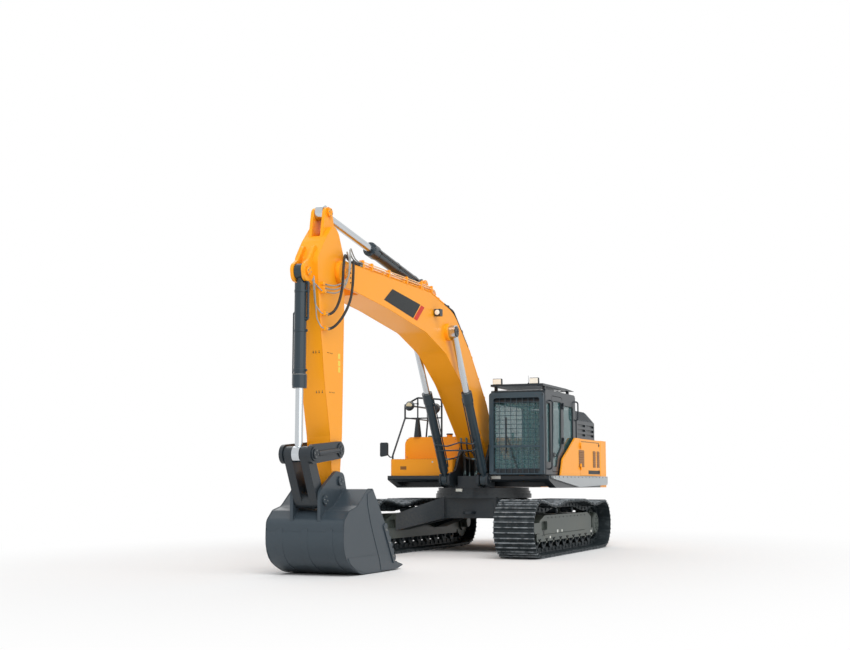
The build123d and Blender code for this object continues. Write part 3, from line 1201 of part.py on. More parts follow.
def rocker_links():
    """Two links from the arm to the bucket cylinder's rod end, outside the arm."""
    pieces = []
    for side in (-1, 1):
        span = sorted((side * (ARM_HALF + EYE_GAP), side * (ARM_HALF + EYE_GAP + 50)))
        piece = link(ROCKER_PIVOT, ROCKER_END, 120, LINK_BOSS_R, *span)
        cut = cross_bar(ROCKER_PIVOT, PIN_R - 5 + PIN_PLAY, span[0] - 1, span[1] + 1)
        cap = sorted((side * (ARM_HALF + EYE_GAP + 45), side * (ARM_HALF + EYE_GAP + 75)))
        pieces.append(fused(piece - cut, cross_bar(ROCKER_END, PIN_R, *cap)))
    return apart(*pieces)


def bucket_link():
    """Forked link from the rod end to the bucket."""
    inner = BUCKET_CYL["eye_half"] + EYE_GAP
    outer = ARM_HALF - 2
    cheeks = [link(ROCKER_END, BUCKET_LINK_PIN, 105, 105, *sorted((side * inner, side * outer))) for side in (-1, 1)]
    foot = cross_bar(BUCKET_LINK_PIN, 105, -outer, outer)
    piece = fused(*cheeks, foot)
    return piece - cross_bar(BUCKET_LINK_PIN, PIN_R + PIN_PLAY, -outer - 1, outer + 1)


def side_cutter_rows():
    """Saw-toothed cutter along the front edge of the bucket's side plate."""
    start, stop = Vector(5560, 150), Vector(5925, 690)
    ahead = (stop - start).normalized()
    out = Vector(-ahead.Y, ahead.X)
    teeth, length = 6, (stop - start).length
    corners = [stop - out * 80, start - out * 80]
    for i in range(teeth):
        # share of a tooth's length, height over the plate's edge
        for share, height in ((0.05, 2), (0.3, 34), (0.6, 34), (0.95, 2)):
            corners.append(start + ahead * ((i + share) * length / teeth) + out * height)
    return [(corner.X, corner.Y, 0) for corner in corners]


def bucket():
    """Digging bucket: curved shell, side plates, wear straps, heel band, lip, ears, pins and teeth."""
    floor = BUCKET_FLOOR + BUCKET_WALL
    outer = [(5500, BUCKET_FLOOR, 0), (6700, BUCKET_FLOOR, 900), (7270, 240, 420), (7250, 740, 120), (7080, 880, 90),
             (6840, 930, 200), (6500, 1170, 60), (6330, 1170, 60), (5960, 740, 200), (5500, BUCKET_FLOOR + 46, 0)]
    hollow = [(5000, floor + 20, 0), (5700, floor, 0), (6690, floor, 870), (7240, 255, 390), (7220, 725, 90),
              (7065, 850, 60), (6825, 900, 170), (6485, 1140, 0), (5000, 1700, 0)]
    solid = prism(outer, "y", -BUCKET_HALF, BUCKET_HALF)
    cavity = prism(hollow, "y", -BUCKET_HALF + BUCKET_WALL, BUCKET_HALF - BUCKET_WALL)
    pieces = [solid]
    near = ARM_HALF + EYE_GAP
    nx, nz = BUCKET_PIVOT
    kx, kz = BUCKET_LINK_PIN
    ear = [(6420, 1130, 0), (nx - 130, nz + 110, 120), (nx + 110, nz + 140, 120), (kx + 130, kz + 130, 110),
           (7240, 740, 0), (6850, 900, 0)]
    for side in (-1, 1):
        pieces.append(prism(ear, "y", *sorted((side * near, side * (near + 45)))))
        pieces.append(prism(side_cutter_rows(), "y", *sorted((side * (BUCKET_HALF - 10), side * (BUCKET_HALF + 22)))))
    strap = [(5900, 0, 0), (6700, 0, 914), (7284, 232, 434), (7262, 640, 0), (6900, 640, 0), (6400, 300, 0),
             (5900, 200, 0)]
    for y in (-380, 0, 380):
        pieces.append(prism(strap, "y", y - 45, y + 45))
    band = [(6450, 7, 0), (6700, 7, 907), (7277, 236, 427), (7262, 600, 0), (6900, 600, 0), (6450, 300, 0)]
    pieces.append(prism(band, "y", -BUCKET_HALF, BUCKET_HALF))
    body = fused(*pieces) - cavity
    teeth = []
    tip = [(5150, 60, 8), (5360, 20, 10), (5450, 18, 0), (5450, 112, 0), (5420, 116, 0)]
    adapter = [(5400, 16, 0), (5720, 16, 0), (5720, 60, 0), (5600, 128, 20), (5440, 128, 20), (5400, 100, 0)]
    for i in range(5):
        y = -BUCKET_HALF + 70 + i * (2 * BUCKET_HALF - 140) / 4
        teeth += [prism(tip, "y", y - 42, y + 42), prism(adapter, "y", y - 56, y + 56)]
    pins = [cross_bar(BUCKET_PIVOT, PIN_R, -near - 60, near + 60),
            cross_bar(BUCKET_LINK_PIN, PIN_R, -near - 60, near + 60)]
    return fused(body, *teeth, *pins)


def parts_list():
    """Every piece by its node name."""
    return {
        "track_left": track(1),
        "track_right": track(-1),
        "track_frame_left": track_frame(1),
        "track_frame_right": track_frame(-1),
        "idlers": apart(idler(1), idler(-1)),
        "sprockets": apart(sprocket(1), sprocket(-1)),
        "final_drives": apart(final_drive(1), final_drive(-1)),
        "bottom_rollers": bottom_rollers(),
        "carrier_rollers": carrier_rollers(),
        "carbody": carbody(),
        "tow_eyes": tow_eyes(),
        "slewing_ring": slewing_ring(),
        "main_frame": main_frame(),
        "counterweight": counterweight(),
        "lifting_eyes": lifting_eyes(),
        "engine_block": engine_block(),
        "house_walls": house_walls(),
        "fuel_tank": fuel_tank(),
        "toolbox": toolbox(),
        "hydraulic_tank": hydraulic_tank(),
        "swing_motor": swing_motor(),
        "intake_housing": intake_housing(),
        "exhaust_stack": exhaust_stack(),
        "engine_hood": engine_hood(),
        "side_door_left": side_door(1),
        "side_door_right": side_door(-1),
        "side_skirts": apart(side_skirt(1), side_skirt(-1)),
        "handrails": handrails(),
        "mirrors": mirrors(),
        "cab_shell": cab_shell(),
        "cab_glass": cab_glass(),
        "cab_door": cab_door(),
        "cab_door_glass": cab_door_glass(),
        "front_guard": front_guard(),
        "roof_guard": roof_guard(),
        "work_lamps": work_lamps(),
        "cab_seat_base": cab_seat_base(),
        "seat_cushions": seat_cushions(),
        "cab_controls": cab_controls(),
        "boom": boom(),
        "boom_pipes": boom_pipes(),
        "knee_hoses": knee_hoses(),
        "boom_lamp": boom_lamp(),
        "boom_cylinder_barrels": apart(boom_barrel(-1), boom_barrel(1)),
        "boom_cylinder_rods": apart(*[rod(BOOM_CYL_BASE, BOOM_CYL_EYE, BOOM_CYL, y, 1100)
                                      for y in (-BOOM_CYL_Y, BOOM_CYL_Y)]),
        "arm_cylinder_barrel": barrel(ARM_CYL_BASE, ARM_CYL_EYE, ARM_CYL, 0),
        "arm_cylinder_rod": rod(ARM_CYL_BASE, ARM_CYL_EYE, ARM_CYL, 0, 1300),
        "arm": arm(),
        "bucket_cylinder_barrel": barrel(BUCKET_CYL_BASE, ROCKER_END, BUCKET_CYL, 0),
        "bucket_cylinder_rod": rod(BUCKET_CYL_BASE, ROCKER_END, BUCKET_CYL, 0, 1000),
        "rocker_links": rocker_links(),
        "bucket_link": bucket_link(),
        "bucket": bucket(),
        **{name: hose(name) for name in HOSES},
    }


def main():
    """Builds every piece, moves it into the part's frame and writes it."""
    os.makedirs("parts", exist_ok=True)
    for name, shape in parts_list().items():
        export_step(Pos(-FRAME_X, 0, 0) * shape, f"parts/{name}.step")


if __name__ == "__main__":
    main()
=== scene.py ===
import json
import math

import bmesh
import bpy
from mathutils import Matrix, Vector


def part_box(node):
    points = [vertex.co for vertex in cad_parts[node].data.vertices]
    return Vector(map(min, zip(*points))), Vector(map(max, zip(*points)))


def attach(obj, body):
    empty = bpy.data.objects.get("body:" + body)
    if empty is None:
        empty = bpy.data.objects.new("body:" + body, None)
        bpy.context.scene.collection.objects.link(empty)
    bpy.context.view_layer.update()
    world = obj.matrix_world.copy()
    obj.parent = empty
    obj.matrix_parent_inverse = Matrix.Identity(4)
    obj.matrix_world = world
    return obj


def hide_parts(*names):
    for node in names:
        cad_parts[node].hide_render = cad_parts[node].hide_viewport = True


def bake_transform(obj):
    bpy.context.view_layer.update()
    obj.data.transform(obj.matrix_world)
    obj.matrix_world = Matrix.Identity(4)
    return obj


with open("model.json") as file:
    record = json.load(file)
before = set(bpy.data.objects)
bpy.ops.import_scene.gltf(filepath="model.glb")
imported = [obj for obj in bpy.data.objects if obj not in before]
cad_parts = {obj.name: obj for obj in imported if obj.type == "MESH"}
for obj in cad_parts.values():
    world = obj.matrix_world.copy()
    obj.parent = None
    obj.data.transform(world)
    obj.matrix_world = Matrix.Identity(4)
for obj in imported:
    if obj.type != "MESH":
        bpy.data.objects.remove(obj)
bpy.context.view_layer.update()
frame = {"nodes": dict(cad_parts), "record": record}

# A crawler excavator, dressed over its solids. Places are in the machine's own millimetres, X from the swing
# axis and Z from the ground, as in the part's source; spot() turns them into the frame's metres.

FRAME_X = 2040.0
TURN, SIDES = 2 * math.pi, (-1, 1)
AHEAD, UP = (1, 0, 0), (0, 0, 1)
PLAIN_TURN, PLAIN_SIZE = (0, 0, 0), (1, 1, 1)

# Pivots and wheels in side view: x, z
BOOM_FOOT, BOOM_CYLINDER_FOOT, BOOM_CYLINDER_EYE = (250, 1850), (1000, 1320), (2530, 3810)
ARM_FOOT, ARM_CYLINDER_FOOT, ARM_CYLINDER_EYE = (6560, 4220), (3200, 4530), (6820, 5060)
BUCKET_CYLINDER_FOOT, ROCKER_FOOT, ROCKER_END = (7440, 4130), (6650, 1710), (7450, 1640)
BUCKET_PIVOT, LINK_PIVOT = (6650, 1280), (7120, 1020)
IDLER, SPROCKET = (2120, 490), (-2150, 475)
SHOE_PITCH, TRACK_Y, FRAME_FACE_Y = 216.0, 1420, 1600
DECK_TOP, TANK_TOP, DOOR_FACE_Y, SEAT_Y = 1690, 2110, 1550, 990


def spot(x, y, z):
    """Place in the frame, in metres, from machine millimetres."""
    return Vector(((x - FRAME_X) / 1000, y / 1000, z / 1000))


def placed(name, data):
    """New object in the scene."""
    made = bpy.data.objects.new(name, data)
    bpy.context.scene.collection.objects.link(made)
    return made


# Node trees

class Value:
    """Number socket whose arithmetic adds Math nodes to its tree."""

    def __init__(self, nodes, socket):
        self.nodes = nodes
        self.socket = socket

    def maths(self, operation, *others):
        made = self.nodes.add("ShaderNodeMath", dict(enumerate((self, *others))), operation=operation)
        return Value(self.nodes, made.outputs[0])

    def __add__(self, other):
        return self.maths("ADD", other)

    def __sub__(self, other):
        return self.maths("SUBTRACT", other)

    def __mul__(self, other):
        return self.maths("MULTIPLY", other)

    def __rsub__(self, other):
        return self * -1 + other

    __radd__, __rmul__ = __add__, __mul__

    def between(self, low, high):
        """0 below low, 1 above high, smooth between them."""
        sockets = {"Value": self, "From Min": low, "From Max": high}
        made = self.nodes.add("ShaderNodeMapRange", sockets, interpolation_type="SMOOTHSTEP")
        return Value(self.nodes, made.outputs["Result"])


class Nodes:
    """Node tree with one method for any node: its type, its sockets' values or links, and its settings."""

    def __init__(self, tree):
        self.tree = tree
        tree.nodes.clear()

    def add(self, kind, sockets=None, **settings):
        node = self.tree.nodes.new(kind)
        for name, value in settings.items():
            setattr(node, name, value)
        for key, value in (sockets or {}).items():
            value = value.socket if isinstance(value, Value) else value
            value = value.outputs[0] if isinstance(value, bpy.types.Node) else value
            if isinstance(value, bpy.types.NodeSocket):
                self.tree.links.new(value, node.inputs[key])
            else:
                node.inputs[key].default_value = value
        return node


# Finishes

class Finish(Nodes):
    """Material read in Object coordinates, in metres."""

    def __init__(self, name):
        self.material = bpy.data.materials.new(name)
        self.material.use_nodes = True
        super().__init__(self.material.node_tree)
        self.place = self.add("ShaderNodeTexCoord").outputs["Object"]

    def axis(self, index, vector=None):
        """One coordinate of the place, or of another vector."""
        split = self.add("ShaderNodeSeparateXYZ", {0: vector or self.place})
        return Value(self, split.outputs[index])

    def facing(self, index):
        """How far the surface faces along an axis, from -1 to 1."""
        return self.axis(index, self.add("ShaderNodeNewGeometry").outputs["Normal"])

    def noise(self, scale, detail, rough=0.55, place=None):
        sockets = {"Vector": place or self.place, "Scale": scale, "Detail": detail, "Roughness": rough}
        return Value(self, self.add("ShaderNodeTexNoise", sockets).outputs["Fac"])

    def ribs(self, scale, twist=0.0):
        """Waves across the machine's width."""
        sockets = {"Vector": self.place, "Scale": scale, "Distortion": twist}
        return Value(self, self.add("ShaderNodeTexWave", sockets, bands_direction="Y").outputs["Fac"])

    def mix(self, share, first, second):
        """Colour that goes from first to second."""
        return self.add("ShaderNodeMix", {0: share, 6: first, 7: second}, data_type="RGBA").outputs[2]

    def bump(self, height, depth, under=None):
        sockets = {"Height": height, "Distance": depth, "Strength": 1.0}
        if under is not None:
            sockets["Normal"] = under
        return self.add("ShaderNodeBump", sockets).outputs[0]

    def soft_edge(self, radius):
        """Normal that rounds the sharp edges of plates and castings."""
        return self.add("ShaderNodeBevel", {"Radius": radius}, samples=4).outputs[0]

    def surface(self, **sockets):
        named = {key.replace("_", " "): value for key, value in sockets.items()}
        shader = self.add("ShaderNodeBsdfPrincipled", named)
        self.add("ShaderNodeOutputMaterial", {"Surface": shader})
        return self.material


def rgb(text, factor=1.0):
    """Scene colour from a written colour such as F5A030, made darker or lighter by a factor."""
    parts = [int(text[i:i + 2], 16) / 255 for i in (0, 2, 4)]
    return (*[(c / 12.92 if c <= 0.04045 else ((c + 0.055) / 1.055) ** 2.4) * factor for c in parts], 1.0)


def paint(m, colour, dust_colour, roughness, coat, edge=0.004, dust=0.18):
    """Sprayed machine paint: orange peel, cloudy gloss, and dust that gathers low and on what faces up."""
    cloud = m.noise(1.3, 4)
    fine = m.noise(34, 3)
    low = 1 - m.axis(2).between(0.2, 2.4)
    up = m.facing(2).between(0.5, 1.0)
    film = (low * 0.6 + up * 0.4) * cloud.between(0.35, 0.75) * fine.between(0.25, 0.75) * dust
    tone = m.mix(cloud * 0.25, rgb(colour), rgb(colour, 0.88))
    peel = m.bump(m.noise(260, 2), 0.00022, m.soft_edge(edge))
    return m.surface(Base_Color=m.mix(film, tone, rgb(dust_colour)), Normal=peel, Coat_Weight=coat,
                     Roughness=fine * 0.1 + film * 0.8 + (roughness - 0.05), Coat_Roughness=0.12,
                     Specular_IOR_Level=0.35)


def cast_steel(m, colour, worn_colour, roughness, wear, metal, edge=""):
    """Steel: rolled grain, mottled oxide and rubbed patches, brighter where the edge attribute is high."""
    mottle = m.noise(9, 5, 0.65)
    grain = m.noise(120, 3, 0.6)
    rubbed = (mottle * 0.7 + grain * 0.3).between(0.5, 0.68) * wear
    if edge:
        worn = Value(m, m.add("ShaderNodeAttribute", attribute_name=edge).outputs["Fac"])
        rubbed = (rubbed + worn * mottle.between(0.3, 0.6) * 0.7).maths("MINIMUM", 1.0)
    base = m.mix(rubbed, m.mix(mottle, rgb(colour), rgb(colour, 0.6)), rgb(worn_colour))
    height = m.bump(grain, 0.0009, m.bump(mottle, 0.003, m.soft_edge(0.004)))
    return m.surface(Base_Color=base, Metallic=metal, Roughness=grain * 0.18 - rubbed * 0.25 + roughness,
                     Normal=height)


def chrome(m, colour):
    """Ground and plated rod with fine rings across it."""
    stretched = m.add("ShaderNodeMapping", {"Vector": m.place, "Scale": (0.3, 0.3, 6.0)}).outputs[0]
    rings = m.noise(90, 2, 0.6, stretched)
    return m.surface(Base_Color=rgb(colour), Metallic=1.0, Roughness=rings * 0.14 + 0.12,
                     Normal=m.bump(rings, 0.00005))


def glass(m, colour, alpha):
    """Tinted safety glass with a faint film of dust."""
    film = m.noise(2.2, 4).between(0.4, 0.8)
    return m.surface(Base_Color=m.mix(film * 0.1, rgb(colour), rgb("A8B4AE")), Roughness=film * 0.06 + 0.02,
                     Alpha=film * 0.06 + alpha, Specular_IOR_Level=0.8, Coat_Weight=0.6, Coat_Roughness=0.02)


def rubber(m, colour, roughness):
    """Hose cover and seals: matt, with the fine wrap left by the mould."""
    weave = m.noise(420, 2)
    cloud = m.noise(14, 3)
    return m.surface(Base_Color=m.mix(cloud.between(0.4, 0.8) * 0.25, rgb(colour), rgb("4A4C4E")),
                     Roughness=cloud * 0.2 + roughness, Normal=m.bump(weave, 0.0004))


def moulded(m, colour, roughness):
    """Grained moulded plastic."""
    pebble = m.add("ShaderNodeTexVoronoi", {"Vector": m.place, "Scale": 220}).outputs["Distance"]
    cloud = m.noise(6, 3)
    return m.surface(Base_Color=m.mix(cloud * 0.3, rgb(colour), rgb(colour, 1.25)),
                     Roughness=cloud * 0.12 + roughness, Normal=m.bump(pebble, 0.0006, m.soft_edge(0.003)))


def lamp_glass(m, colour):
    """Ribbed lens with a faint painted glow that stands in for light off a bright reflector behind it."""
    ribs = m.ribs(24.0)
    # The faint emission is painted glow, not a lit lamp.
    return m.surface(Base_Color=rgb(colour), Roughness=ribs * 0.1 + 0.08, Normal=m.bump(ribs, 0.002),
                     Coat_Weight=0.8, Emission_Color=rgb("FFF3DC"), Emission_Strength=0.12)


def cloth_weave(m, colour):
    """Woven seat cloth with a fine rib."""
    height = m.ribs(160.0, 1.0) * 0.6 + m.noise(700, 2) * 0.4
    return m.surface(Base_Color=m.mix(height * 0.5, rgb(colour), rgb(colour, 1.8)),
                     Roughness=height * 0.1 + 0.8, Normal=m.bump(height, 0.0012), Sheen_Weight=0.3)


DUST = "B9A98C"
# paint: colour, dust, roughness, coat, edge, share of dust; steel: colour, worn, roughness, wear, metal
FINISHES = {
    "body_paint": (paint, "FFA514", "D9A05A", 0.4, 0.08),
    "frame_paint": (paint, "1D262D", DUST, 0.4, 0.2, 0.004, 0.1),
    "track_steel": (cast_steel, "283237", "8A959C", 0.5, 0.25, 0.3),
    "track_frame_paint": (paint, "454D49", DUST, 0.5, 0.1, 0.005, 0.15),
    "cylinder_paint": (paint, "22323B", DUST, 0.32, 0.3, 0.004, 0.08),
    "rod_chrome": (chrome, "C9CED2"),
    "skirt_grey": (paint, "A9AEB0", DUST, 0.45, 0.1),
    "bucket_steel": (paint, "343F47", "6C7276", 0.42, 0.15, 0.006, 0.12),
    "glazing": (glass, "4A8084", 0.4),
    "interior_plastic": (moulded, "2A2C2F", 0.6),
    "seat_fabric": (cloth_weave, "2B2C30"),
    "lamp_lens": (lamp_glass, "E9E6DA"),
    "hose_rubber": (rubber, "1B1A19", 0.55),
    "pale_hose": (rubber, "9B9C98", 0.4),
    # light bar tops on the shoes: worn steel in part, and in part painted highlight along the bar edges
    "shoe_steel": (cast_steel, "202B30", "B4BCC2", 0.5, 0.12, 0.3, "wear"),
    "plated_steel": (cast_steel, "8C8F8E", "C4C2B8", 0.35, 0.4, 0.8),
    "bolt_dark": (cast_steel, "33383C", "8A9094", 0.45, 0.4, 0.5),
    "fitting_teal": (cast_steel, "6F8788", "B8C2C0", 0.35, 0.3, 0.6),
    "pipe_grey": (paint, "9A9F9F", DUST, 0.35, 0.2),
    # pale copy of the orange: painted highlight on pipes that are orange like the boom
    "pipe_pale": (paint, "FFC98A", DUST, 0.3, 0.5),
    "guard_grey": (paint, "33444E", DUST, 0.4, 0.2, 0.002, 0.05),
    # brown: the toolbox plate's own colour, and painted shade over the orange louvre hoods
    "louvre_brown": (paint, "8C5C26", DUST, 0.5, 0.05, 0.002),
    # near black: the blank plates' own colour, and painted shade in the vent slots and the adjuster opening
    "plate_dark": (paint, "0D1518", DUST, 0.5, 0.0, 0.001, 0.08),
    "plate_pale": (paint, "D8DAD2", DUST, 0.4, 0.3, 0.001),
    "plate_yellow": (paint, "F3D548", DUST, 0.4, 0.2, 0.001),
    "red_film": (paint, "D23018", DUST, 0.5, 0.0, 0.001, 0.08),
    "cream_plastic": (moulded, "D8CFAE", 0.45),
    "teal_plastic": (moulded, "1F7A6E", 0.4),
    # mirror faces: pale grey glass, a painted reflection of the white surround
    "mirror": (glass, "9FA8AC", 0.94),
}
finishes = {name: make(Finish(name.replace("_", " ")), *values) for name, (make, *values) in FINISHES.items()}


def dress_solids():
    """Give each solid the finish of its material slot; the cab's front guard is greyer than its frame."""
    own = {"front_guard": "guard_grey"}
    for part in frame["record"]["subparts"]:
        materials = frame["nodes"][part["node"]].data.materials
        materials.clear()
        materials.append(finishes[own.get(part["node"], part["material_slot"])])


# Forms in machine millimetres

def on_level(axis, level, u, v):
    """Point at a level along an axis, from its two other coordinates."""
    return {"x": (level, u, v), "y": (u, level, v), "z": (u, v, level)}[axis]


def square_to(way):
    """A direction at length 1 and two more, all square to each other."""
    way = Vector(way).normalized()
    first = way.orthogonal().normalized()
    return way, first, way.cross(first)


def circle(middle, first, second, radius, count, start=0.0):
    """Points round a place in the plane of two directions."""
    turns = [start + TURN * i / count for i in range(count)]
    return [middle + (first * math.cos(a) + second * math.sin(a)) * radius for a in turns]


class Shape:
    """Closed forms gathered in one mesh; each adding method hands the shape back."""

    def __init__(self):
        self.made = bmesh.new()

    def rings(self, rings, closed=False):
        """Skin over rings of points, with its ends closed unless it runs in a loop."""
        loops = [[self.made.verts.new(point) for point in ring] for ring in rings]
        pairs = list(zip(loops, loops[1:]))
        if closed:
            pairs.append((loops[-1], loops[0]))
        else:
            self.made.faces.new(loops[0][::-1])
            self.made.faces.new(loops[-1])
        for low, high in pairs:
            for i in range(len(low)):
                j = (i + 1) % len(low)
                self.made.faces.new((low[i], low[j], high[j], high[i]))
        return self

    def prism(self, corners, axis, low, high):
        """Outline of (first, second) corners square to an axis, between two levels along it."""
        levels = sorted((low, high))
        return self.rings([[on_level(axis, level, u, v) for u, v in corners] for level in levels])

    def box(self, x0, x1, y0, y1, z0, z1):
        y0, y1 = sorted((y0, y1))
        return self.prism([(x0, y0), (x1, y0), (x1, y1), (x0, y1)], "z", z0, z1)

    def turned(self, origin, along, rows, sides=20, closed=False):
        """Turned form: rows of (distance from the origin, radius); a closed one is a hollow ring."""
        along, first, second = square_to(along)
        return self.rings([circle(Vector(origin) + along * far, first, second, radius, sides)
                           for far, radius in rows], closed)

    def tube(self, points, radius, sides=8, closed=False):
        """Round tube through points."""
        points = [Vector(point) for point in points]
        count, rings, over = len(points), [], None
        for i, point in enumerate(points):
            before = points[i - 1] if closed or i else points[0]
            after = points[(i + 1) % count] if closed or i < count - 1 else points[-1]
            ahead = (after - before).normalized()
            over = ahead.orthogonal() if over is None else over - ahead * over.dot(ahead)
            over.normalize()
            rings.append(circle(point, over, ahead.cross(over), radius, sides))
        return self.rings(rings, closed)

    def mesh(self, name, scale=0.001, shift=-FRAME_X):
        """Finished mesh in metres, faces outward, smooth but for its sharp edges."""
        bmesh.ops.recalc_face_normals(self.made, faces=self.made.faces)
        made = bpy.data.meshes.new(name)
        bmesh.ops.translate(self.made, verts=self.made.verts, vec=(shift, 0, 0))
        bmesh.ops.scale(self.made, verts=self.made.verts, vec=(scale, scale, scale))
        self.made.to_mesh(made)
        self.made.free()
        made.shade_smooth()
        made.set_sharp_from_angle(angle=math.radians(34))
        return made

    def on(self, body, name, finish):
        """Finished piece that rides on a body."""
        return rider(self.mesh(name), body, name, finish)


def rider(mesh, body, name, finish):
    """Object of a finished mesh, moving with a body."""
    mesh.materials.clear()
    mesh.materials.append(finishes[finish])
    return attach(placed(name, mesh), body)


def bend(start, corner, stop, steps=5):
    """Points that lead round a corner."""
    turns = [k / steps for k in range(steps + 1)]
    return [start * (1 - t) ** 2 + corner * 2 * t * (1 - t) + stop * t ** 2 for t in turns]


def rounded(points, radius, closed=False, steps=5):
    """Points of a line whose corners are rounded."""
    points = [Vector(point) for point in points]
    count = len(points)
    line = [] if closed else [points[0]]
    for i in range(count) if closed else range(1, count - 1):
        here, back, ahead = points[i], points[i - 1] - points[i], points[(i + 1) % count] - points[i]
        reach = min(radius, 0.48 * back.length, 0.48 * ahead.length)
        line += bend(here + back.normalized() * reach, here, here + ahead.normalized() * reach, steps)
    return line if closed else line + [points[-1]]


def side_line(y, rows):
    """Line in a plane along the machine through (x, z, radius) corners, each rounded to its radius."""
    corners = [Vector((x, z)) for x, z, _ in rows]
    line = [corners[0]]
    for i in range(1, len(rows) - 1):
        here, back, ahead = corners[i], corners[i - 1] - corners[i], corners[i + 1] - corners[i]
        reach = rows[i][2] * math.tan((math.pi - back.angle(ahead)) / 2)
        line += bend(here + back.normalized() * reach, here, here + ahead.normalized() * reach)
    return [(p.x, y, p.y) for p in line + [corners[-1]]]


# Repeats, grown by Geometry Nodes

class Tree(Nodes):
    """Geometry tree with named inputs."""

    def __init__(self, name, inputs):
        tree = bpy.data.node_groups.new(name, "GeometryNodeTree")
        super().__init__(tree)
        tree.interface.new_socket("Geometry", in_out="OUTPUT", socket_type="NodeSocketGeometry")
        self.keys = {}
        for key, kind in {"Geometry": "Geometry", "Finish": "Material", **inputs}.items():
            socket = tree.interface.new_socket(key, in_out="INPUT", socket_type=f"NodeSocket{kind}")
            self.keys[key] = socket.identifier
        self.given = self.add("NodeGroupInput").outputs

    def attribute(self, name):
        kind = "GeometryNodeInputNamedAttribute"
        return self.add(kind, {"Name": name}, data_type="FLOAT_VECTOR").outputs[0]

    def finish(self, sockets):
        """Ends the tree: a shape on every point, made one plain mesh in one finish."""
        instances = self.add("GeometryNodeInstanceOnPoints", sockets)
        plain = self.add("GeometryNodeRealizeInstances", {"Geometry": instances})
        sockets = {"Geometry": plain, "Material": self.given["Finish"]}
        self.add("NodeGroupOutput", {"Geometry": self.add("GeometryNodeSetMaterial", sockets)})
        return self


def scatter_tree():
    """Puts a shape on every point, turned and sized by the point's own attributes."""
    tree = Tree("repeats on points", {"Shape": "Object"})
    shape = tree.add("GeometryNodeObjectInfo", {"Object": tree.given["Shape"]}).outputs["Geometry"]
    turn = tree.add("FunctionNodeEulerToRotation", {0: tree.attribute("turn")})
    return tree.finish({"Points": tree.given["Geometry"], "Instance": shape, "Rotation": turn,
                        "Scale": tree.attribute("size")})


def bead_tree():
    """Lays overlapping beads along edges, as a weld's scales."""
    tree = Tree("weld beads", {"Spacing": "Float", "Radius": "Float"})
    line = tree.add("GeometryNodeMeshToCurve", {"Mesh": tree.given["Geometry"]})
    sockets = {"Curve": line, "Length": tree.given["Spacing"]}
    even = tree.add("GeometryNodeResampleCurve", sockets, mode="LENGTH")
    bead = tree.add("GeometryNodeMeshIcoSphere", {"Radius": tree.given["Radius"], "Subdivisions": 1})
    return tree.finish({"Points": even, "Instance": bead})


def grow(tree, base, body, name, finish, **inputs):
    """Runs a tree over a base mesh and keeps the plain mesh that comes out."""
    seed = placed(name, base)
    modifier = seed.modifiers.new("grow", "NODES")
    modifier.node_group = tree.tree
    for key, value in {"Finish": finishes[finish], **inputs}.items():
        modifier[tree.keys[key]] = value
    seed.update_tag()
    grown = bpy.data.meshes.new_from_object(seed.evaluated_get(bpy.context.evaluated_depsgraph_get()))
    bpy.data.objects.remove(seed)
    grown.name = name
    return rider(grown, body, name, finish)


def scatter(body, name, finish, shape, rows):
    """Repeats of a shape; a row is (machine place, Euler turn, sizes)."""
    base = bpy.data.meshes.new(name)
    base.from_pydata([spot(*place) for place, _, _ in rows], [], [])
    for key, column in (("turn", 1), ("size", 2)):
        layer = base.attributes.new(key, "FLOAT_VECTOR", "POINT")
        for item, row in zip(layer.data, rows):
            item.vector = row[column]
    return grow(repeats, base, body, name, finish, Shape=shape)


def stamped(name, shape):
    """Shape to repeat, in metres round its own origin, kept out of the picture."""
    return bpy.data.objects.new(name, shape.mesh(name, shift=0))


def bolts(body, name, finish, rows):
    """Hexagon bolts; a row is (place, direction, width in mm)."""
    modelled_width = 30
    rows = [(place, Vector(way).to_track_quat("Z", "Y").to_euler(), (width / modelled_width,) * 3)
            for place, way, width in rows]
    scatter(body, name, finish, bolt_shape, rows)


def round_of(place, way, radius, count, width, start=0.0):
    """Rows for bolts on a circle round a place."""
    way, first, second = square_to(way)
    return [(point, way, width) for point in circle(Vector(place), first, second, radius, count, start)]


def welds(body, name, finish, lines, radius=5.5):
    """Weld beads along lines of machine places."""
    points, edges = [], []
    for line in lines:
        first = len(points)
        points += [spot(*point) for point in line]
        edges += [(i, i + 1) for i in range(first, len(points) - 1)]
    base = bpy.data.meshes.new(name)
    base.from_pydata(points, edges, [])
    grow(beads, base, body, name, finish, Spacing=radius * 0.0016, Radius=radius * 0.001)


# Tracks

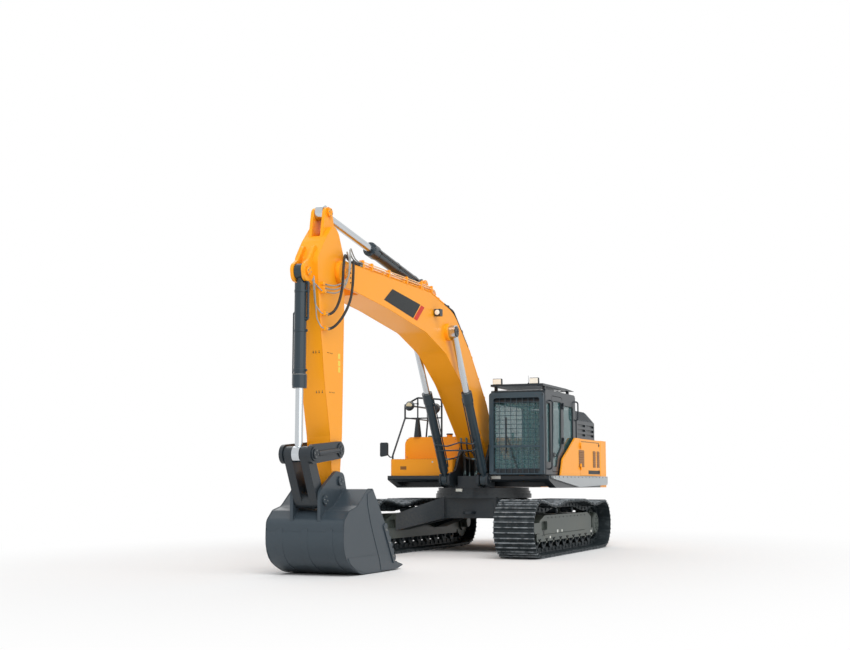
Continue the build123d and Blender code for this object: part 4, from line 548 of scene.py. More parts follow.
def pin_places():
    """Chain pins in side view: round rollers, idler, carrier rollers and sprocket, with the slack's sag."""
    lift, tip = 45.0, 105.0
    roller, carrier = 95.0 + lift, 50.0 + lift
    low, top = tip + roller, 968.0 - tip - carrier
    # x, z, pin line's radius
    wheels = [(-1700, low, roller), (1700, low, roller), (*IDLER, IDLER[1] - tip), (380, top, carrier),
              (-630, top, carrier), (*SPROCKET, 355)]
    runs = []
    for (x1, z1, r1), (x2, z2, r2) in zip(wheels, wheels[1:] + wheels[:1]):
        length = math.hypot(x2 - x1, z2 - z1)
        turn = math.atan2(z2 - z1, x2 - x1) - math.pi / 2 + math.asin((r1 - r2) / length)
        out = Vector((math.cos(turn), math.sin(turn)))
        runs.append((Vector((x1, z1)) + out * r1, Vector((x2, z2)) + out * r2, turn))
    stretches = []
    for i, (start, stop, turn) in enumerate(runs):
        stretches.append(((stop - start).length, start, stop, None))
        x, z, radius = wheels[(i + 1) % len(wheels)]
        swept = (runs[(i + 1) % len(runs)][2] - turn) % TURN
        if swept < 1.5 * math.pi:
            stretches.append((swept * radius, Vector((x, z)), turn, radius))
    total = sum(stretch[0] for stretch in stretches)
    count = round(total / SHOE_PITCH)
    places = []
    for i in range(count):
        left = total * i / count
        for length, start, stop, radius in stretches:
            if left <= length:
                break
            left -= length
        if radius is None:
            place = start + (stop - start) * (left / length)
        else:
            angle = stop + left / radius
            place = start + Vector((math.cos(angle), math.sin(angle))) * radius
        for rear, front, sag in ((380, IDLER[0], 85), (SPROCKET[0], -630, 75)):
            if rear < place.x < front and place.y > 700:
                place.y -= sag * math.sin(math.pi * (place.x - rear) / (front - rear)) ** 2
        places.append(place)
    return places


def shoe_shape():
    """One shoe with three worn bars, its two links, pin and bushing; X runs along the chain, Z outward."""
    # along the chain, height over the pin line
    section = [(-152, 43), (-104, 45), (-90, 56), (101, 56), (104, 62), (104, 70), (96, 72), (96, 98),
               (92, 105), (86, 105), (81, 98), (76, 72), (70, 70), (13, 70), (6, 104), (-6, 104), (-13, 70),
               (-66, 70), (-74, 72), (-80, 98), (-84, 105), (-91, 105), (-96, 98), (-100, 74), (-106, 68),
               (-112, 58), (-154, 51)]
    shoe = Shape().prism(section, "y", -350, 350)
    link = [(-128, -14), (-114, -30), (-96, -34), (-60, -44), (62, -44), (96, -34), (116, -28), (126, -10),
            (122, 14), (104, 24), (92, 55), (-92, 55), (-104, 26), (-124, 14)]
    for side in SIDES:
        shoe.prism(link, "y", side * 46, side * 99)
        for x in (-64, 40):
            shoe.turned((x, side * 72, 69), UP, [(0, 24), (3, 24), (3, 17), (15, 17), (17, 14)], 6)
    shoe.turned((-108, -118, 0), (0, 1, 0), [(0, 20), (4, 24), (232, 24), (236, 20)], 10)
    shoe.turned((-108, -45, 0), (0, 1, 0), [(0, 32), (90, 32)], 10)
    made = stamped("shoe", shoe)
    # The wear attribute lightens the bar tops: worn steel, and in part painted highlight along the thin
    # bright bar edges.
    wear = made.data.attributes.new("wear", "FLOAT", "POINT")
    bar_foot, bar_height = 0.094, 0.011
    for item, vertex in zip(wear.data, made.data.vertices):
        item.value = max(0.0, min(1.0, (vertex.co.z - bar_foot) / bar_height))
    return made


def chains():
    """Both chains, link by link, for the two fixed loops."""
    shoe = shoe_shape()
    places = pin_places()
    for side, name in ((1, "left"), (-1, "right")):
        rows = []
        for here, there in zip(places, places[1:] + places[:1]):
            ahead = (there - here).normalized()
            turn = Matrix(((ahead.x, 0, ahead.y), (0, -1, 0), (ahead.y, 0, -ahead.x))).to_euler()
            middle = (here + there) / 2
            stretch = (there - here).length / SHOE_PITCH
            rows.append(((middle.x, side * TRACK_Y, middle.y), turn, (stretch, 1, 1)))
        chain = scatter("undercarriage", f"chain_{name}", "shoe_steel", shoe, rows)
        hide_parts(f"track_{name}")


# Hoses, pins and cylinders

def hose(name, radius, points, bodies, finish="hose_rubber", dress="fitting_teal"):
    """Free hose between two bodies, with a crimped ferrule and a nut at each end."""
    guide = bpy.data.curves.new(name, "CURVE")
    guide.dimensions = "3D"
    guide.resolution_u = 10
    spline = guide.splines.new("NURBS")
    spline.points.add(len(points) - 1)
    for point, place in zip(spline.points, points):
        point.co = (*spot(*place), 1)
    spline.order_u = 3
    spline.use_endpoint_u = True
    route = placed(name, guide)
    line = bpy.data.meshes.new_from_object(route.evaluated_get(bpy.context.evaluated_depsgraph_get()))
    path = [vertex.co.copy() for vertex in line.vertices]
    bpy.data.objects.remove(route)
    mesh = Shape().tube(path, radius / 1000, 14).mesh(name, scale=1, shift=0)
    mesh.materials.append(finishes[finish])
    cover = placed(f"{name}_cover", mesh)
    if name in frame["nodes"]:
        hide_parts(name)
    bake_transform(cover)
    r = radius + 4
    ferrule = [(0, r), (6, r + 1), (10, r - 1), (24, r), (28, r - 1.5), (42, r), (46, r - 1.5),
               (60, r - 0.5), (64, r - 3)]
    nut = [(-16, r), (-14, r + 3), (2, r + 3), (4, r)]
    for body, end, inner in ((bodies[0], points[0], points[1]), (bodies[1], points[-1], points[-2])):
        way = Vector(inner) - Vector(end)
        fitting = Shape().turned(end, way, ferrule, 18).turned(end, way, nut, 6)
        fitting.on(body, f"{name}_fitting_{body}", dress)


def hoses():
    """The free hoses at the arm's foot and at the boom's foot."""
    # radius, y at the boom, end at the arm, finish, points between
    rows = {
        "arm_hose_outer": (19, 234, (7100, 230, 3370), "hose_rubber", [
            (6380, 290, 4440), (6500, 350, 4330), (6540, 362, 4060), (6600, 352, 3800), (6760, 300, 3540)]),
        "arm_hose_inner": (19, 192, (7120, 230, 3570), "hose_rubber", [
            (6450, 215, 4470), (6660, 290, 4480), (6790, 330, 4300), (6810, 330, 3980), (6860, 290, 3720)]),
        "arm_line": (9, 150, (7150, 225, 3880), "pale_hose", [
            (6360, 185, 4520), (6520, 250, 4560), (6600, 330, 4420), (6630, 345, 4200), (6680, 310, 4000),
            (6810, 250, 3900)]),
    }
    for name, (radius, y_boom, (x, y, z), finish, points) in rows.items():
        route = [(6000.3, y_boom, 4416), (6200.3, y_boom, 4416), *points, (x - 150, y, z), (x - 0.3, y, z)]
        hose(name, radius, route, ("boom", "arm"), finish, "plated_steel")
    blocks = Shape()
    for k, y, name in ((1, 213, "arm_line_b"), (2, 250, "arm_line_c")):
        end = 3880 + 54 * k
        route = [(6000.3, y, 4452), (6200, y, 4452), (6360, y + 16, 4540),
                 (6520 - 18 * k, 290, 4570 + 24 * k), (6600 - 20 * k, 330, 4420 + 10 * k),
                 (6630 - 20 * k, 345, 4200 + 20 * k), (6680 - 16 * k, 310, 4000 + 50 * k),
                 (6810, 240, end + 16), (7000, 205, end), (7149.7, 205, end)]
        hose(name, 9, route, ("boom", "arm"), "pale_hose", "plated_steel")
        blocks.box(7150, 7215, 178, 228, end - 22, end + 22)
    blocks.on("arm", "line_blocks", "body_paint")
    rise = [(600, 1380.3), (600, 1480), (585, 1620), (640, 1760), (735, 1880), (750, 1950)]
    for k, y in enumerate((-165, -58, 52, 168)):
        route = [(x, y, z) for x, z in rise] + [(760, y, 2056 + 6 * (k % 2))]
        hose(f"foot_hose_{k}", 15, route, ("upper", "boom"))
    foot = [(690, 110, 1410.3), (690, 110, 1570), (715, 100, 1700), (830, 75, 1815), (980, 45, 1840),
            (1100, 30, 1795), (1190, 50, 1725), (1220, 160, 1678), (1220, 277.7, 1678)]
    for name, side in (("boom_hose_left", 1), ("boom_hose_right", -1)):
        hose(name, 14, [(x, side * y, z) for x, y, z in foot], ("upper", "boom_cylinder_barrels"))


def pins():
    """Pin caps with their keeper bolts and grease nipples at every pivot."""
    # body, pivot, distance across of the pin's end, radius, finish
    rows = [
        ("upper", BOOM_FOOT, 326, 76, "frame_paint"),
        ("upper", BOOM_CYLINDER_FOOT, 473, 66, "frame_paint"),
        ("boom_cylinder_rods", BOOM_CYLINDER_EYE, 422, 92, "frame_paint"),
        ("boom", ARM_FOOT, 275, 78, "body_paint"),
        ("boom", ARM_CYLINDER_FOOT, 126, 62, "body_paint"),
        ("arm", ARM_CYLINDER_EYE, 131, 66, "body_paint"),
        ("arm", BUCKET_CYLINDER_FOOT, 121, 62, "body_paint"),
        ("arm", ROCKER_FOOT, 255, 62, "frame_paint"),
        ("rocker_links", ROCKER_END, 261, 68, "frame_paint"),
        ("bucket", BUCKET_PIVOT, 246, 68, "bucket_steel"),
        ("bucket", LINK_PIVOT, 246, 68, "bucket_steel"),
    ]
    for i, (body, (x, z), across, radius, finish) in enumerate(rows):
        caps, heads = Shape(), []
        for side in SIDES:
            out = (0, side, 0)
            caps.turned((x, side * (across - 1), z), out, [
                (0, radius), (9, radius), (12, radius - 3), (12, radius * 0.42), (8, radius * 0.38)], 28)
            heads += round_of((x, side * (across + 11), z), out, radius * 0.68, 4, 15, 0.6)
            caps.turned((x, side * (across + 4), z), out, [(0, 7), (6, 7), (7, 4), (11, 5), (13, 3)], 8)
        caps.on(body, f"pin_caps_{i}", finish)
        bolts(body, f"pin_bolts_{i}", "plated_steel", heads)


def cylinders():
    """Bands, pipes and gland bolts of each cylinder, and the pipes across between the boom's two."""
    boom = ("boom_cylinder_barrels", BOOM_CYLINDER_FOOT, BOOM_CYLINDER_EYE)
    arm = ("arm_cylinder_barrel", ARM_CYLINDER_FOOT, ARM_CYLINDER_EYE)
    bucket = ("bucket_cylinder_barrel", BUCKET_CYLINDER_FOOT, ROCKER_END)
    # body, foot, eye, y, radii of tube, gland and rod, length, pipes: side, first and last place, radius
    rows = [
        (*boom, 370, 78, 92, 55, 1760, [(-1, 300, 1640, 10)]),
        (*boom, -370, 78, 92, 55, 1760, [(1, 300, 1640, 10)]),
        (*arm, 0, 95, 112, 62, 2000, [(1, 300, 1880, 10)]),
        (*bucket, 0, 84, 100, 54, 1600, [(1, 150, 660, 17), (-1, 570, 1560, 9)]),
    ]
    for i, (body, foot, eye, y, tube, gland, rod, length, pipes) in enumerate(rows):
        start = Vector((foot[0], y, foot[1]))
        ahead = (Vector((eye[0], y, eye[1])) - start).normalized()
        side = Vector((0, pipes[0][0], 0))
        bands, lines = Shape(), Shape()
        band = [(0, tube - 1), (2, tube + 5), (36, tube + 5), (38, tube - 1)]
        for far in (255, length * 0.5, length - 260):
            bands.turned(start + ahead * far, ahead, band, 32, closed=True)
            bands.turned(start + ahead * (far + 19) + side * tube, side, [(0, 20), (22, 20), (24, 16)], 6)
        for way, first, last, thick in pipes:
            low, high, side = start + ahead * first, start + ahead * last, Vector((0, way, 0))
            lift = side * (tube + 14 + thick)
            route = [low + side * (tube - 4), low + lift, high + lift, high + side * (tube - 4)]
            lines.tube(rounded(route, 40), thick, 10)
            port = [(0, thick + 14), (10, thick + 14), (12, thick + 7), (16, thick + 7)]
            for end in (low, high):
                lines.turned(end + side * (tube - 2), side, port, 6)
        bands.on(body, f"cylinder_trim_{i}", "cylinder_paint")
        face = start + ahead * length
        if body == "bucket_cylinder_barrel":
            ring = [(0, gland), (2, gland + 3), (9, gland + 3), (11, gland)]
            Shape().turned(face - ahead * 188, ahead, ring, 36).on(body, "gland_ring", "plated_steel")
        lines.on(body, f"cylinder_pipe_{i}", "cylinder_paint")
        bolts(body, f"gland_bolts_{i}", "plated_steel", round_of(face, ahead, (gland + rod) / 2 + 9, 10, 9))
    across = Shape()
    for far, lean, dip in ((700, 178, 0), (820, 170, 34)):
        x, z = BOOM_CYLINDER_FOOT[0] + 0.524 * far, BOOM_CYLINDER_FOOT[1] + 0.852 * far
        x_out, z_out = x + 0.852 * lean, z - 0.524 * lean
        route = [(x + 60, -370, z - 37), (x_out, -370, z_out), (x_out, -120, z_out - dip),
                 (x_out, 120, z_out + dip), (x_out, 370, z_out), (x + 60, 370, z - 37)]
        across.tube(rounded(route, 46), 13, 10)
    across.on("boom_cylinder_barrels", "cross_pipes", "cylinder_paint")


# Boom, arm and bucket

def boom_trim():
    """Blank plates with their slanted bars, welds, lamp lens, pipes with their clamps, and bolts."""
    flats = (("plate", "plate_dark", [(3740, 4128), (4880, 4228), (5198, 4020), (4045, 3872)]),
             ("bar", "red_film", [(3560, 4106), (3705, 4121), (4018, 3868), (3880, 3850)]))
    for side in SIDES:
        for name, finish, corners in flats:
            flat = Shape().prism(corners, "y", side * 250.2, side * 252.5)
            flat.on("boom", f"boom_{name}_{side + 1}", finish)
    under = [(500, 1818, 0), (900, 2190, 700), (1800, 2960, 900), (2600, 3440, 900), (3500, 3710, 900),
             (5000, 3900, 900), (6250, 4010, 300), (6560, 4022, 0)]
    over = [(6300, 4390, 0), (3300, 4390, 900), (2200, 4170, 900), (1400, 3560, 1200), (520, 2660, 900),
            (250, 2233, 0)]
    lines = [side_line(side * 249, line) for line in (under, over) for side in SIDES]
    welds("boom", "boom_welds", "body_paint", lines)
    Shape().turned((3169, 320, 4070), AHEAD, [(0, 46), (6, 44), (12, 34), (15, 12)], 24).on(
        "boom", "boom_lamp_lens", "lamp_lens")
    Shape().turned((3166, 320, 4070), AHEAD, [(0, 54), (10, 54), (12, 50), (12, 45), (4, 45)], 24).on(
        "boom", "boom_lamp_rim", "interior_plastic")
    pipes, clamps = Shape(), Shape()
    for k, (y, z) in enumerate(((213, 4452), (250, 4452), (231, 4488))):
        pipes.tube(rounded([(6000, y, z), (3050 + 60 * k, y, z), (2990 + 60 * k, y, 4380)], 50), 9, 10)
    for x in (5960, 5640, 5000, 4300, 3700, 3240):
        clamps.box(x - 22, x + 22, 200, 262, 4388, 4504)
    # The upper pipes are orange; their pale finish is painted highlight.
    pipes.on("boom", "upper_pipes", "pipe_pale")
    clamps.on("boom", "pipe_clamps", "body_paint")
    heads = [((6385, side * 250, z), (0, side, 0), 20) for side in SIDES for z in (4110, 4180, 4250, 4320)]
    bolts("boom", "nose_bolts", "bolt_dark", heads)
    heads = [((x, y, 4435), UP, 17) for x in (5200, 4400, 3600) for y in (171, 213)]
    bolts("boom", "clamp_bolts", "plated_steel", heads)


def arm_trim():
    """Welds, the pipes that run on over the arm, blank plates, studs and the bolts of the foot."""
    front = [(6790, 1250, 0), (6860, 1900, 300), (7060, 2690, 600), (7250, 3760, 500), (7275, 4050, 0)]
    rear = [(6555, 1350, 0), (6490, 1900, 600), (6450, 3700, 300), (6445, 4150, 0)]
    lines = [side_line(side * 179, line) for side in SIDES for line in (front, rear)]
    welds("arm", "arm_welds", "body_paint", lines)
    pipes, plates = Shape(), Shape()
    for k, (x, z, y) in enumerate(((7170, 3880, 214), (7190, 3570, 216), (7170, 3370, 216))):
        route = [(x, y, z), (x + 60, y, z), (7330 - 30 * k, 128 + 16 * k, z + 120),
                 (7380, 142 + 12 * k, 4010 + 30 * k)]
        pipes.tube(rounded(route, 60), 8)
    pipes.on("arm", "arm_pipes", "pipe_grey")
    for x, z in ((6600, 3030), (6596, 2930), (6592, 2840)):
        plates.box(x - 34, x + 34, 179.5, 181.6, z - 38, z + 38)
    plates.on("arm", "arm_plates", "plate_yellow")
    studs = []
    for z, front, rear in ((3050, 7124, 6886), (2505, 7013, 6812)):
        studs += [((front, y, z + dz), (0.98, 0, -0.19), 13) for y in (40, 80, 130) for dz in (-10, 10)]
        studs += [((rear + dx, 179, z), (0, 1, 0), 13) for dx in (-60, -20, 40, 80)]
    bolts("arm", "arm_studs", "bolt_dark", studs)
    heads = []
    for side in SIDES:
        heads += round_of((ARM_FOOT[0], side * 194, ARM_FOOT[1]), (0, side, 0), 160, 12, 22)
    for x, z, y in ((7135, 3370, 258), (7155, 3570, 258), (7185, 3880, 253)):
        heads += [((x + a, y, z + b), (0, 1, 0), 12) for a in (-22, 22) for b in (-16, 16)]
    bolts("arm", "arm_bolts", "plated_steel", heads)


def bucket_trim():
    """Bolts of the side cutters, ribs of the rocker links, wear plates, pins of the teeth, and welds."""
    heads, ribs, plates, pegs, lines = [], Shape(), Shape(), Shape(), []
    wall = 588
    corner = [(5930, 712), (6330, 1166), (6520, 1100), (6500, 940), (6400, 700), (6240, 420), (6090, 180),
              (6030, 20), (5620, 20), (5600, 150)]
    heel = [(6140, 14), (6528, 16), (6860, 84), (6994, 138), (7080, 192), (7130, 250), (6170, 250)]
    rim = [(5980, 13, 0), (6700, 8, 905), (7276, 237, 426), (7252, 740, 120), (7080, 880, 90),
           (6840, 930, 200), (6500, 1170, 60), (6340, 1170, 0)]
    ear = [(6500, 1168), (6840, 932), (7075, 878), (7235, 745)]
    for side in SIDES:
        out = (0, side, 0)
        heads += [((x, side * 612, z), out, 30) for x, z in ((5648, 209), (5775, 398), (5903, 587))]
        near, far = (Vector((x, side * 244, z)) for x, z in (ROCKER_FOOT, ROCKER_END))
        ahead = (far - near).normalized()
        ribs.turned(near + ahead * 84, ahead, [(0, 26), (14, 36), (620, 36), (634, 26)], 20)
        for x, z in (ROCKER_FOOT, ROCKER_END):
            ribs.turned((x, side * 236, z), out, [(0, 98), (15, 98), (20, 92)], 32)
        for outline in (corner, heel):
            plates.prism(outline, "y", side * wall, side * (wall + 8))
        lines += [[(x, side * y, z) for x, z in ear] for y in (186, 231)]
        lines.append(side_line(side * wall, rim))
    bolts("bucket", "bucket_bolts", "plated_steel", heads)
    ribs.on("rocker_links", "link_ribs", "frame_paint")
    plates.on("bucket", "side_wear_plates", "bucket_steel")
    for y in range(-520, 521, 260):
        pegs.turned((5560, y - 60, 74), (0, 1, 0), [(0, 10), (3, 14), (117, 14), (120, 10)], 12)
        pegs.prism([(5480, 122), (5500, 148), (5530, 150), (5556, 128)], "y", y - 9, y + 9)
    pegs.on("bucket", "tooth_pins", "track_steel")
    lines += [[(5905, y, 13), (6500, y, 13)] for y in (-425, -335, -45, 45, 335, 425)]
    welds("bucket", "bucket_welds", "bucket_steel", lines, 7)


# Undercarriage

def undercarriage_trim():
    """Bolts and caps of frames, rollers, idlers, final drives and slewing ring, and the blank plates."""
    heads, caps, plates, dark, lines = [], Shape(), Shape(), Shape(), []
    # wheel, y, radius, count and width of its bolts
    bolt_circles = ((SPROCKET, 1482, 239, 24, 22), (SPROCKET, 1586, 128, 8, 20), (IDLER, 1600, 48, 4, 18))
    idler_cap = [(0, 74), (14, 74), (18, 66), (18, 24), (12, 22)]
    # x, z, half width, half height
    plate_rows = ((1070, 320, 32, 19), (610, 410, 40, 26), (330, 410, 32, 20), (-1680, 330, 36, 22))
    leg = ((640, 402), (640, 698), (1280, 698), (1280, 402))
    for side in SIDES:
        face, out = side * FRAME_FACE_Y, (0, side, 0)
        for x in range(-1700, 1701, 425):
            heads += [((x + dx, face, 300), out, 24) for dx in (-52, 52)]
            caps.turned((x, face - side * 24, 268), out, [(0, 44), (20, 44), (24, 38)], 16)
        heads += [((x, face, 655), out, 20) for x in range(-1200, 1300, 240)]
        for (x, z), y, radius, count, width in bolt_circles:
            heads += round_of((x, side * y, z), out, radius, count, width)
        caps.turned((IDLER[0], side * 1584, IDLER[1]), out, idler_cap, 24)
        caps.turned((SPROCKET[0], side * 1599, SPROCKET[1]), out, [(0, 30), (14, 30), (16, 22)], 6)
        for x, z, half, tall in plate_rows:
            plates.box(x - half, x + half, face - side, face + side * 2.5, z - tall, z + tall)
        # A dark square painted where the track adjuster's opening lies in shade.
        dark.box(1425, 1495, face - side, face + side * 2.5, 365, 435)
        heads += [((x, face, z), out, 14) for x in (1418, 1502) for z in (358, 442)]
        lines.append([(x, side * 1600.5, 378) for x in (-1200, 1500)])
        lines += [[(way * x, side * 1239, z) for x, z in leg] for way in SIDES]
    heads += round_of((0, 0, 1050), UP, 880, 48, 18)
    bolts("undercarriage", "undercarriage_bolts", "bolt_dark", heads)
    caps.on("undercarriage", "axle_caps", "track_frame_paint")
    ring, y_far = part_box("slewing_ring")[1][0] * 1000 + FRAME_X, -230
    plates.box(math.sqrt(ring ** 2 - y_far ** 2) - 14, ring - 1, y_far, -110, 1100, 1150)
    plates.on("undercarriage", "frame_plates", "plate_pale")
    dark.on("undercarriage", "grease_covers", "plate_dark")
    welds("undercarriage", "frame_welds", "track_frame_paint", lines, 7)


# Upper

def cab_trim():
    """Window beads, door handle, lamp housings and lenses, wiper, aerial, blank plate and guard bolts."""
    beads = Shape()
    # axis, level of the pane's face, first and second limits, corner
    for axis, level, u0, u1, v0, v1, reach in (
            ("x", 977, 555, 1420, 1500, 2680, 50), ("x", -1056, 590, 1380, 2140, 2680, 60),
            ("y", 504, -860, 860, 1620, 2680, 70), ("y", 1477, -860, -220, 1760, 2680, 60),
            ("y", 1477, 640, 880, 1620, 2680, 50), ("z", 2887, 80, 700, 620, 1300, 40)):
        corners = [on_level(axis, level, u, v) for u, v in ((u0, v0), (u1, v0), (u1, v1), (u0, v1))]
        beads.tube(rounded(corners, reach, closed=True, steps=4), 9, 6, closed=True)
    beads.on("upper", "window_beads", "hose_rubber")
    outline = ((490, 1540), (490, 2730), (-50, 2730), (-50, 1900), (150, 1760), (270, 1540))
    door = rounded([(x, 1482, z) for x, z in outline], 45, closed=True)
    Shape().tube(door, 9, 6, closed=True).on("cab_door", "door_bead", "hose_rubber")
    handle = Shape().box(415, 505, 1500, 1506, 1700, 1800)
    grip = [(430, y, z) for y, z in ((1500, 1725), (1536, 1725), (1536, 1775), (1500, 1775))]
    handle.tube(rounded(grip, 12), 8)
    handle.turned((480, 1505, 1750), (0, 1, 0), [(0, 13), (10, 13), (12, 10)], 14)
    handle.on("cab_door", "door_handle", "interior_plastic")
    housings, lenses = Shape(), Shape()
    for y in (620, 1310):
        housings.prism([(922, 3004), (1006, 3004), (1006, 3114), (930, 3114)], "y", y - 79, y + 79)
        lenses.prism([(y - 64, 3022), (y + 64, 3022), (y + 64, 3100), (y - 64, 3100)], "x", 1005, 1009)
        for rib in range(y - 52, y + 53, 26):
            housings.box(908, 924, rib - 5, rib + 5, 3020, 3100)
    housings.on("upper", "lamp_housings", "interior_plastic")
    lenses.on("upper", "lamp_lenses", "lamp_lens")
    wiper = Shape().turned((985, 1000, 1470), AHEAD, [(0, 22), (14, 22), (17, 16)], 16)
    wiper.tube([(994, 1000, 1470), (994, 860, 1900), (992, 800, 2080)], 7, 6)
    wiper.box(982, 990, 770, 792, 1780, 2420).on("upper", "wiper", "interior_plastic")
    Shape().turned((940, 1190, 3009), UP, [(0, 16), (10, 15), (24, 7), (26, 3), (150, 2.2)], 10).on(
        "upper", "aerial", "interior_plastic")
    Shape().box(940, 943, 467, 655, 1325, 1378).on("upper", "cab_plate", "plate_pale")
    heads = [((1050, y, z), AHEAD, 20) for y in (500, 1480) for z in (1450, 1900, 2400, 2810)]
    bolts("upper", "guard_bolts", "bolt_dark", heads)


def deck_trim():
    """Mirror faces and fronts, tank caps, studs underfoot, toolbox plate and button, collars and bolts."""
    faces, cream, caps = Shape(), Shape(), Shape()
    tilt = math.radians(15)
    way = Vector((math.cos(tilt), 0, -math.sin(tilt)))
    for shape, y, z, radius in ((cream, -1310, 2700, 95), (caps, -800, 2640, 105)):
        middle = Vector((465, y, z))
        shape.turned(middle + way * 15, way, [(0, radius * 0.66), (5, radius * 0.62), (7, radius * 0.5)], 28)
        faces.turned(middle - way * 16, -way, [(0, radius * 0.9), (3, radius * 0.88)], 28)
    # The mirror faces' pale grey is painted reflection.
    faces.on("upper", "mirror_faces", "mirror")
    cream.on("upper", "mirror_front", "cream_plastic")
    Shape().turned((300, -960, 2109), UP, [(0, 36), (24, 36), (30, 30)], 18).on(
        "upper", "tank_cap", "teal_plastic")
    caps.turned((150, -620, 2154), UP, [(0, 60), (6, 64), (20, 64), (26, 56)], 24)
    caps.turned((-1000, -900, 2124), UP, [(0, 92), (10, 90), (12, 40), (22, 38)], 28)
    caps.on("upper", "tank_caps", "frame_paint")
    spots = [(x, y, DECK_TOP) for x in range(450, 830, 54) for y in range(-1500, -540, 54)]
    spots += [(x, y, TANK_TOP) for x in range(-760, 400, 58) for y in range(-1370, -460, 58)
              if math.hypot(x - 150, y + 620) > 90 and math.hypot(x - 300, y + 960) > 60]
    stud = stamped("stud", Shape().turned((0, 0, -1), UP, [(0, 11), (4, 10), (5, 7)], 8))
    scatter("upper", "studs", "frame_paint", stud, [(place, PLAIN_TURN, PLAIN_SIZE) for place in spots])
    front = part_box("toolbox")[1][0] * 1000 + FRAME_X
    Shape().box(front - 1, front + 2, -1330, -1210, 1498, 1560).on("upper", "toolbox_plate", "louvre_brown")
    Shape().turned((front - 1, -692, 1636), AHEAD, [(0, 17), (4, 17), (6, 12)], 16).on(
        "upper", "toolbox_button", "plate_pale")
    collars = Shape()
    for y, z in ((-1175, 2740), (-690, 2680)):
        collars.turned((385, y, z - 20), UP, [(0, 17), (2, 19.5), (38, 19.5), (40, 17)], 18)
    collars.on("upper", "mirror_collars", "frame_paint")
    heads = [((x, -1544, 1650), (0, -1, 0), 16) for x in range(-700, 800, 150)]
    heads += [((420, y, z), AHEAD, 16) for y in (-1380, -400) for z in (1740, 2060)]
    bolts("upper", "box_bolts", "plated_steel", heads)


def house_trim():
    """Latches, slots and louvre hoods whose dark and brown are painted shade, blank plates and bolts of the
    engine house, skirts and counterweight.
    """
    outline = [(-22, -5), (-18, -8), (18, -8), (22, -5), (22, 5), (18, 8), (-18, 8), (-22, 5)]
    slot = stamped("slot", Shape().prism(outline, "y", -0.8, 0.8))
    latch_rows = [(0, 34), (4, 34), (6, 30), (6, 16), (12, 15), (13, 11)]
    fields = ((-1425, -1050), (-2290, -2095), (-2595, -2400))
    # side, name, end of the slots, end of the plate, louvre fields from front to rear
    for side, name, slots_end, plate_end, louvres in ((1, "left", -1200, -1750, fields),
                                                      (-1, "right", -1600, -1900, fields[1:])):
        body, face, out = f"side_door_{name}", side * DOOR_FACE_Y, (0, side, 0)
        latch, hoods = Shape(), Shape()
        for z in (1480, 2000):
            latch.turned((-2560, face - side, z), out, latch_rows, 24)
            latch.box(-2566, -2554, face + side * 10, face + side * 15, z - 12, z + 12)
        latch.on(body, f"latches_{name}", "interior_plastic")
        # The slots are thin dark sheets: painted shade where the vent openings are.
        scatter(body, f"slots_{name}", "plate_dark", slot, [
            ((x, face + side * 0.6, 2045), PLAIN_TURN, PLAIN_SIZE) for x in range(-2560, slots_end, 72)])
        plate = Shape().box(-2630, plate_end, face, face + side * 1.6, 1424, 1496)
        plate.on(body, f"door_plate_{name}", "plate_dark")
        # The louvre fields are orange; the brown slats and the brown plate behind them are painted shade of
        # their recesses.
        for x0, x1 in louvres:
            for z in range(1560, 1880, 46):
                hoods.prism([(face - side * 2, z - 1), (face + side * 12, z + 2), (face + side * 10, z + 13),
                             (face - side * 2, z + 38)], "x", x0 - 1, x1 + 1)
            hoods.box(x0, x1, face - side * 2, face + side, 1556, 1880)
        hoods.on(body, f"hoods_{name}", "louvre_brown")
    heads = [((x, side * 1590, 1362), (0, side, 0), 18) for side in SIDES for x in range(-2950, 700, 260)]
    heads += [((-3430, y, 1500), (-1, 0, 0), 40) for y in (-700, 700)]
    bolts("upper", "house_bolts", "bolt_dark", heads)
    vents = Shape()
    for x in range(-2500, -1650, 60):
        vents.prism([(x, 2136), (x + 34, 2136), (x + 30, 2146), (x + 8, 2146)], "y", -430, -130)
    vents.on("engine_hood", "hood_vents", "body_paint")


# Seat

def cushion(shape, low, high, power=5.0):
    """Stuffed form between two corners: a box swollen round, flatter towards its middle."""
    low, high = Vector(low), Vector(high)
    middle, half = (low + high) / 2, (high - low) / 2
    around, up, tip = 28, 14, 0.985

    def bent(value):
        return math.copysign(abs(value) ** (2 / power), value)

    rings, turns = [], [TURN * i / around for i in range(around)]
    for j in range(up + 1):
        tilt = -math.pi / 2 * tip + math.pi * tip * j / up
        flat, level = bent(math.cos(tilt)), middle.z + half.z * bent(math.sin(tilt))
        rings.append([(middle.x + half.x * flat * bent(math.cos(turn)),
                       middle.y + half.y * flat * bent(math.sin(turn)), level) for turn in turns])
    shape.rings(rings)


def seat():
    """Seat, back and head rest with their bolsters, on their frame."""
    pad, back = Shape(), Shape()
    cushion(pad, (-560, SEAT_Y - 250, 1731), (0, SEAT_Y + 250, 1858))
    cushion(back, (-700, SEAT_Y - 238, 1880), (-590, SEAT_Y + 238, 2420))
    for side in SIDES:
        y = SEAT_Y + side * 205
        cushion(pad, (-500, y - 44, 1742), (-20, y + 44, 1874), 3)
        y = SEAT_Y + side * 196
        cushion(back, (-680, y - 42, 1900), (-560, y + 42, 2360), 3)
    cushion(back, (-765, SEAT_Y - 100, 2440), (-680, SEAT_Y + 100, 2600), 4)
    pads = pad.on("upper", "seat_pad", "seat_fabric")
    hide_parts("seat_cushions")
    for piece in (pads, back.on("upper", "seat_back", "seat_fabric")):
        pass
    bits = Shape().tube([(-700, SEAT_Y, 2380), (-722, SEAT_Y, 2470)], 14, 10)
    bits.box(-660, -560, SEAT_Y - 190, SEAT_Y + 190, 1800, 1900).on("upper", "seat_frame", "interior_plastic")


# Camera, light and floor

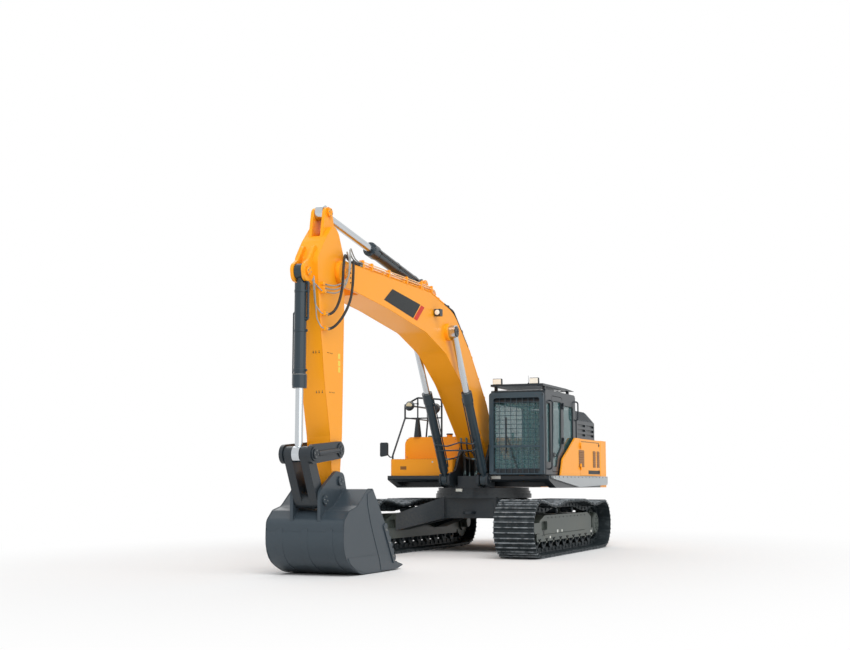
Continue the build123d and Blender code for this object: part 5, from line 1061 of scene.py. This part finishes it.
def camera():
    """Camera low in front of the machine's left side, looking slightly up."""
    data = bpy.data.cameras.new("camera")
    pixels_wide, focal_pixels = 850, 1300
    data.sensor_width = 36.0
    data.lens = data.sensor_width * focal_pixels / pixels_wide
    data.clip_end = 500
    view = placed("camera", data)
    yaw, pitch = 0.3851, 0.1209
    ahead = Vector((-math.cos(yaw) * math.cos(pitch), -math.sin(yaw) * math.cos(pitch), math.sin(pitch)))
    view.location = spot(23103.5, 8181.0, 1253.9)
    view.rotation_euler = ahead.to_track_quat("-Z", "Y").to_euler()
    bpy.context.scene.camera = view


def lights():
    """Soft studio light: a wide key from the front left, a fill, a back light and an even sky."""
    # name, strength, softness in degrees, direction the light comes from
    rows = [("key", 1.7, 40, (0.66, 0.3, 0.9)), ("fill", 1.15, 70, (0.45, 0.9, 0.3)),
            ("back", 0.55, 50, (-0.7, -0.5, 0.7))]
    for name, strength, softness, source in rows:
        data = bpy.data.lights.new(name, "SUN")
        data.energy = strength
        data.angle = math.radians(softness)
        placed(name, data).rotation_euler = (-Vector(source)).to_track_quat("-Z", "Y").to_euler()
    world = bpy.data.worlds.new("sky")
    world.use_nodes = True
    bpy.context.scene.world = world
    sky = Nodes(world.node_tree)
    path = sky.add("ShaderNodeLightPath").outputs
    kinds = ("Camera", "Transmission", "Glossy")
    seen, through, glossy = (Value(sky, path[f"Is {kind} Ray"]) for kind in kinds)
    strength = (seen + through + glossy * 0.85).maths("MINIMUM", 1.0)
    ambient = 0.42
    sockets = {"Color": (1, 1, 1, 1), "Strength": strength * (1 - ambient) + ambient}
    sky.add("ShaderNodeOutputWorld", {"Surface": sky.add("ShaderNodeBackground", sockets)})


def floor():
    """Pale studio floor that turns into the white surround away from the machine."""
    mesh = bpy.data.meshes.new("floor")
    made = bmesh.new()
    bmesh.ops.create_circle(made, cap_ends=True, segments=96, radius=160)
    made.to_mesh(mesh)
    made.free()
    disc = placed("floor", mesh)
    disc.location.z = -0.0005
    m = Finish("studio floor")
    x, y = m.axis(0), m.axis(1)
    away = (x * x * 0.35 + y * y).maths("SQRT").between(3.2, 9.0)
    path = m.add("ShaderNodeLightPath")
    seen = Value(m, path.outputs["Is Camera Ray"]) + Value(m, path.outputs["Is Glossy Ray"])
    matt = m.add("ShaderNodeBsdfDiffuse", {"Color": (0.86, 0.86, 0.86, 1)})
    white = m.add("ShaderNodeEmission", {"Color": (1, 1, 1, 1), "Strength": 1.0})
    both = m.add("ShaderNodeMixShader", {0: away * seen.maths("MINIMUM", 1.0), 1: matt, 2: white})
    m.add("ShaderNodeOutputMaterial", {"Surface": both})
    mesh.materials.append(m.material)


camera()
lights()
floor()
dress_solids()
repeats = scatter_tree()
beads = bead_tree()
head = Shape().turned((0, 0, -1), UP, [(0, 19), (3, 19), (4, 17.5)], 12)
bolt_shape = stamped("bolt", head.turned((0, 0, 2), UP, [(0, 15), (9, 15), (12, 12.5)], 6))
for work in (hoses, chains, undercarriage_trim, pins, cylinders, boom_trim, arm_trim, bucket_trim, cab_trim,
             deck_trim, house_trim, seat):
    work()
for spare in [o for o in bpy.data.objects if o.type == "MESH" and not o.users_collection]:
    bpy.data.objects.remove(spare)
bpy.context.scene.view_settings.view_transform = "Standard"
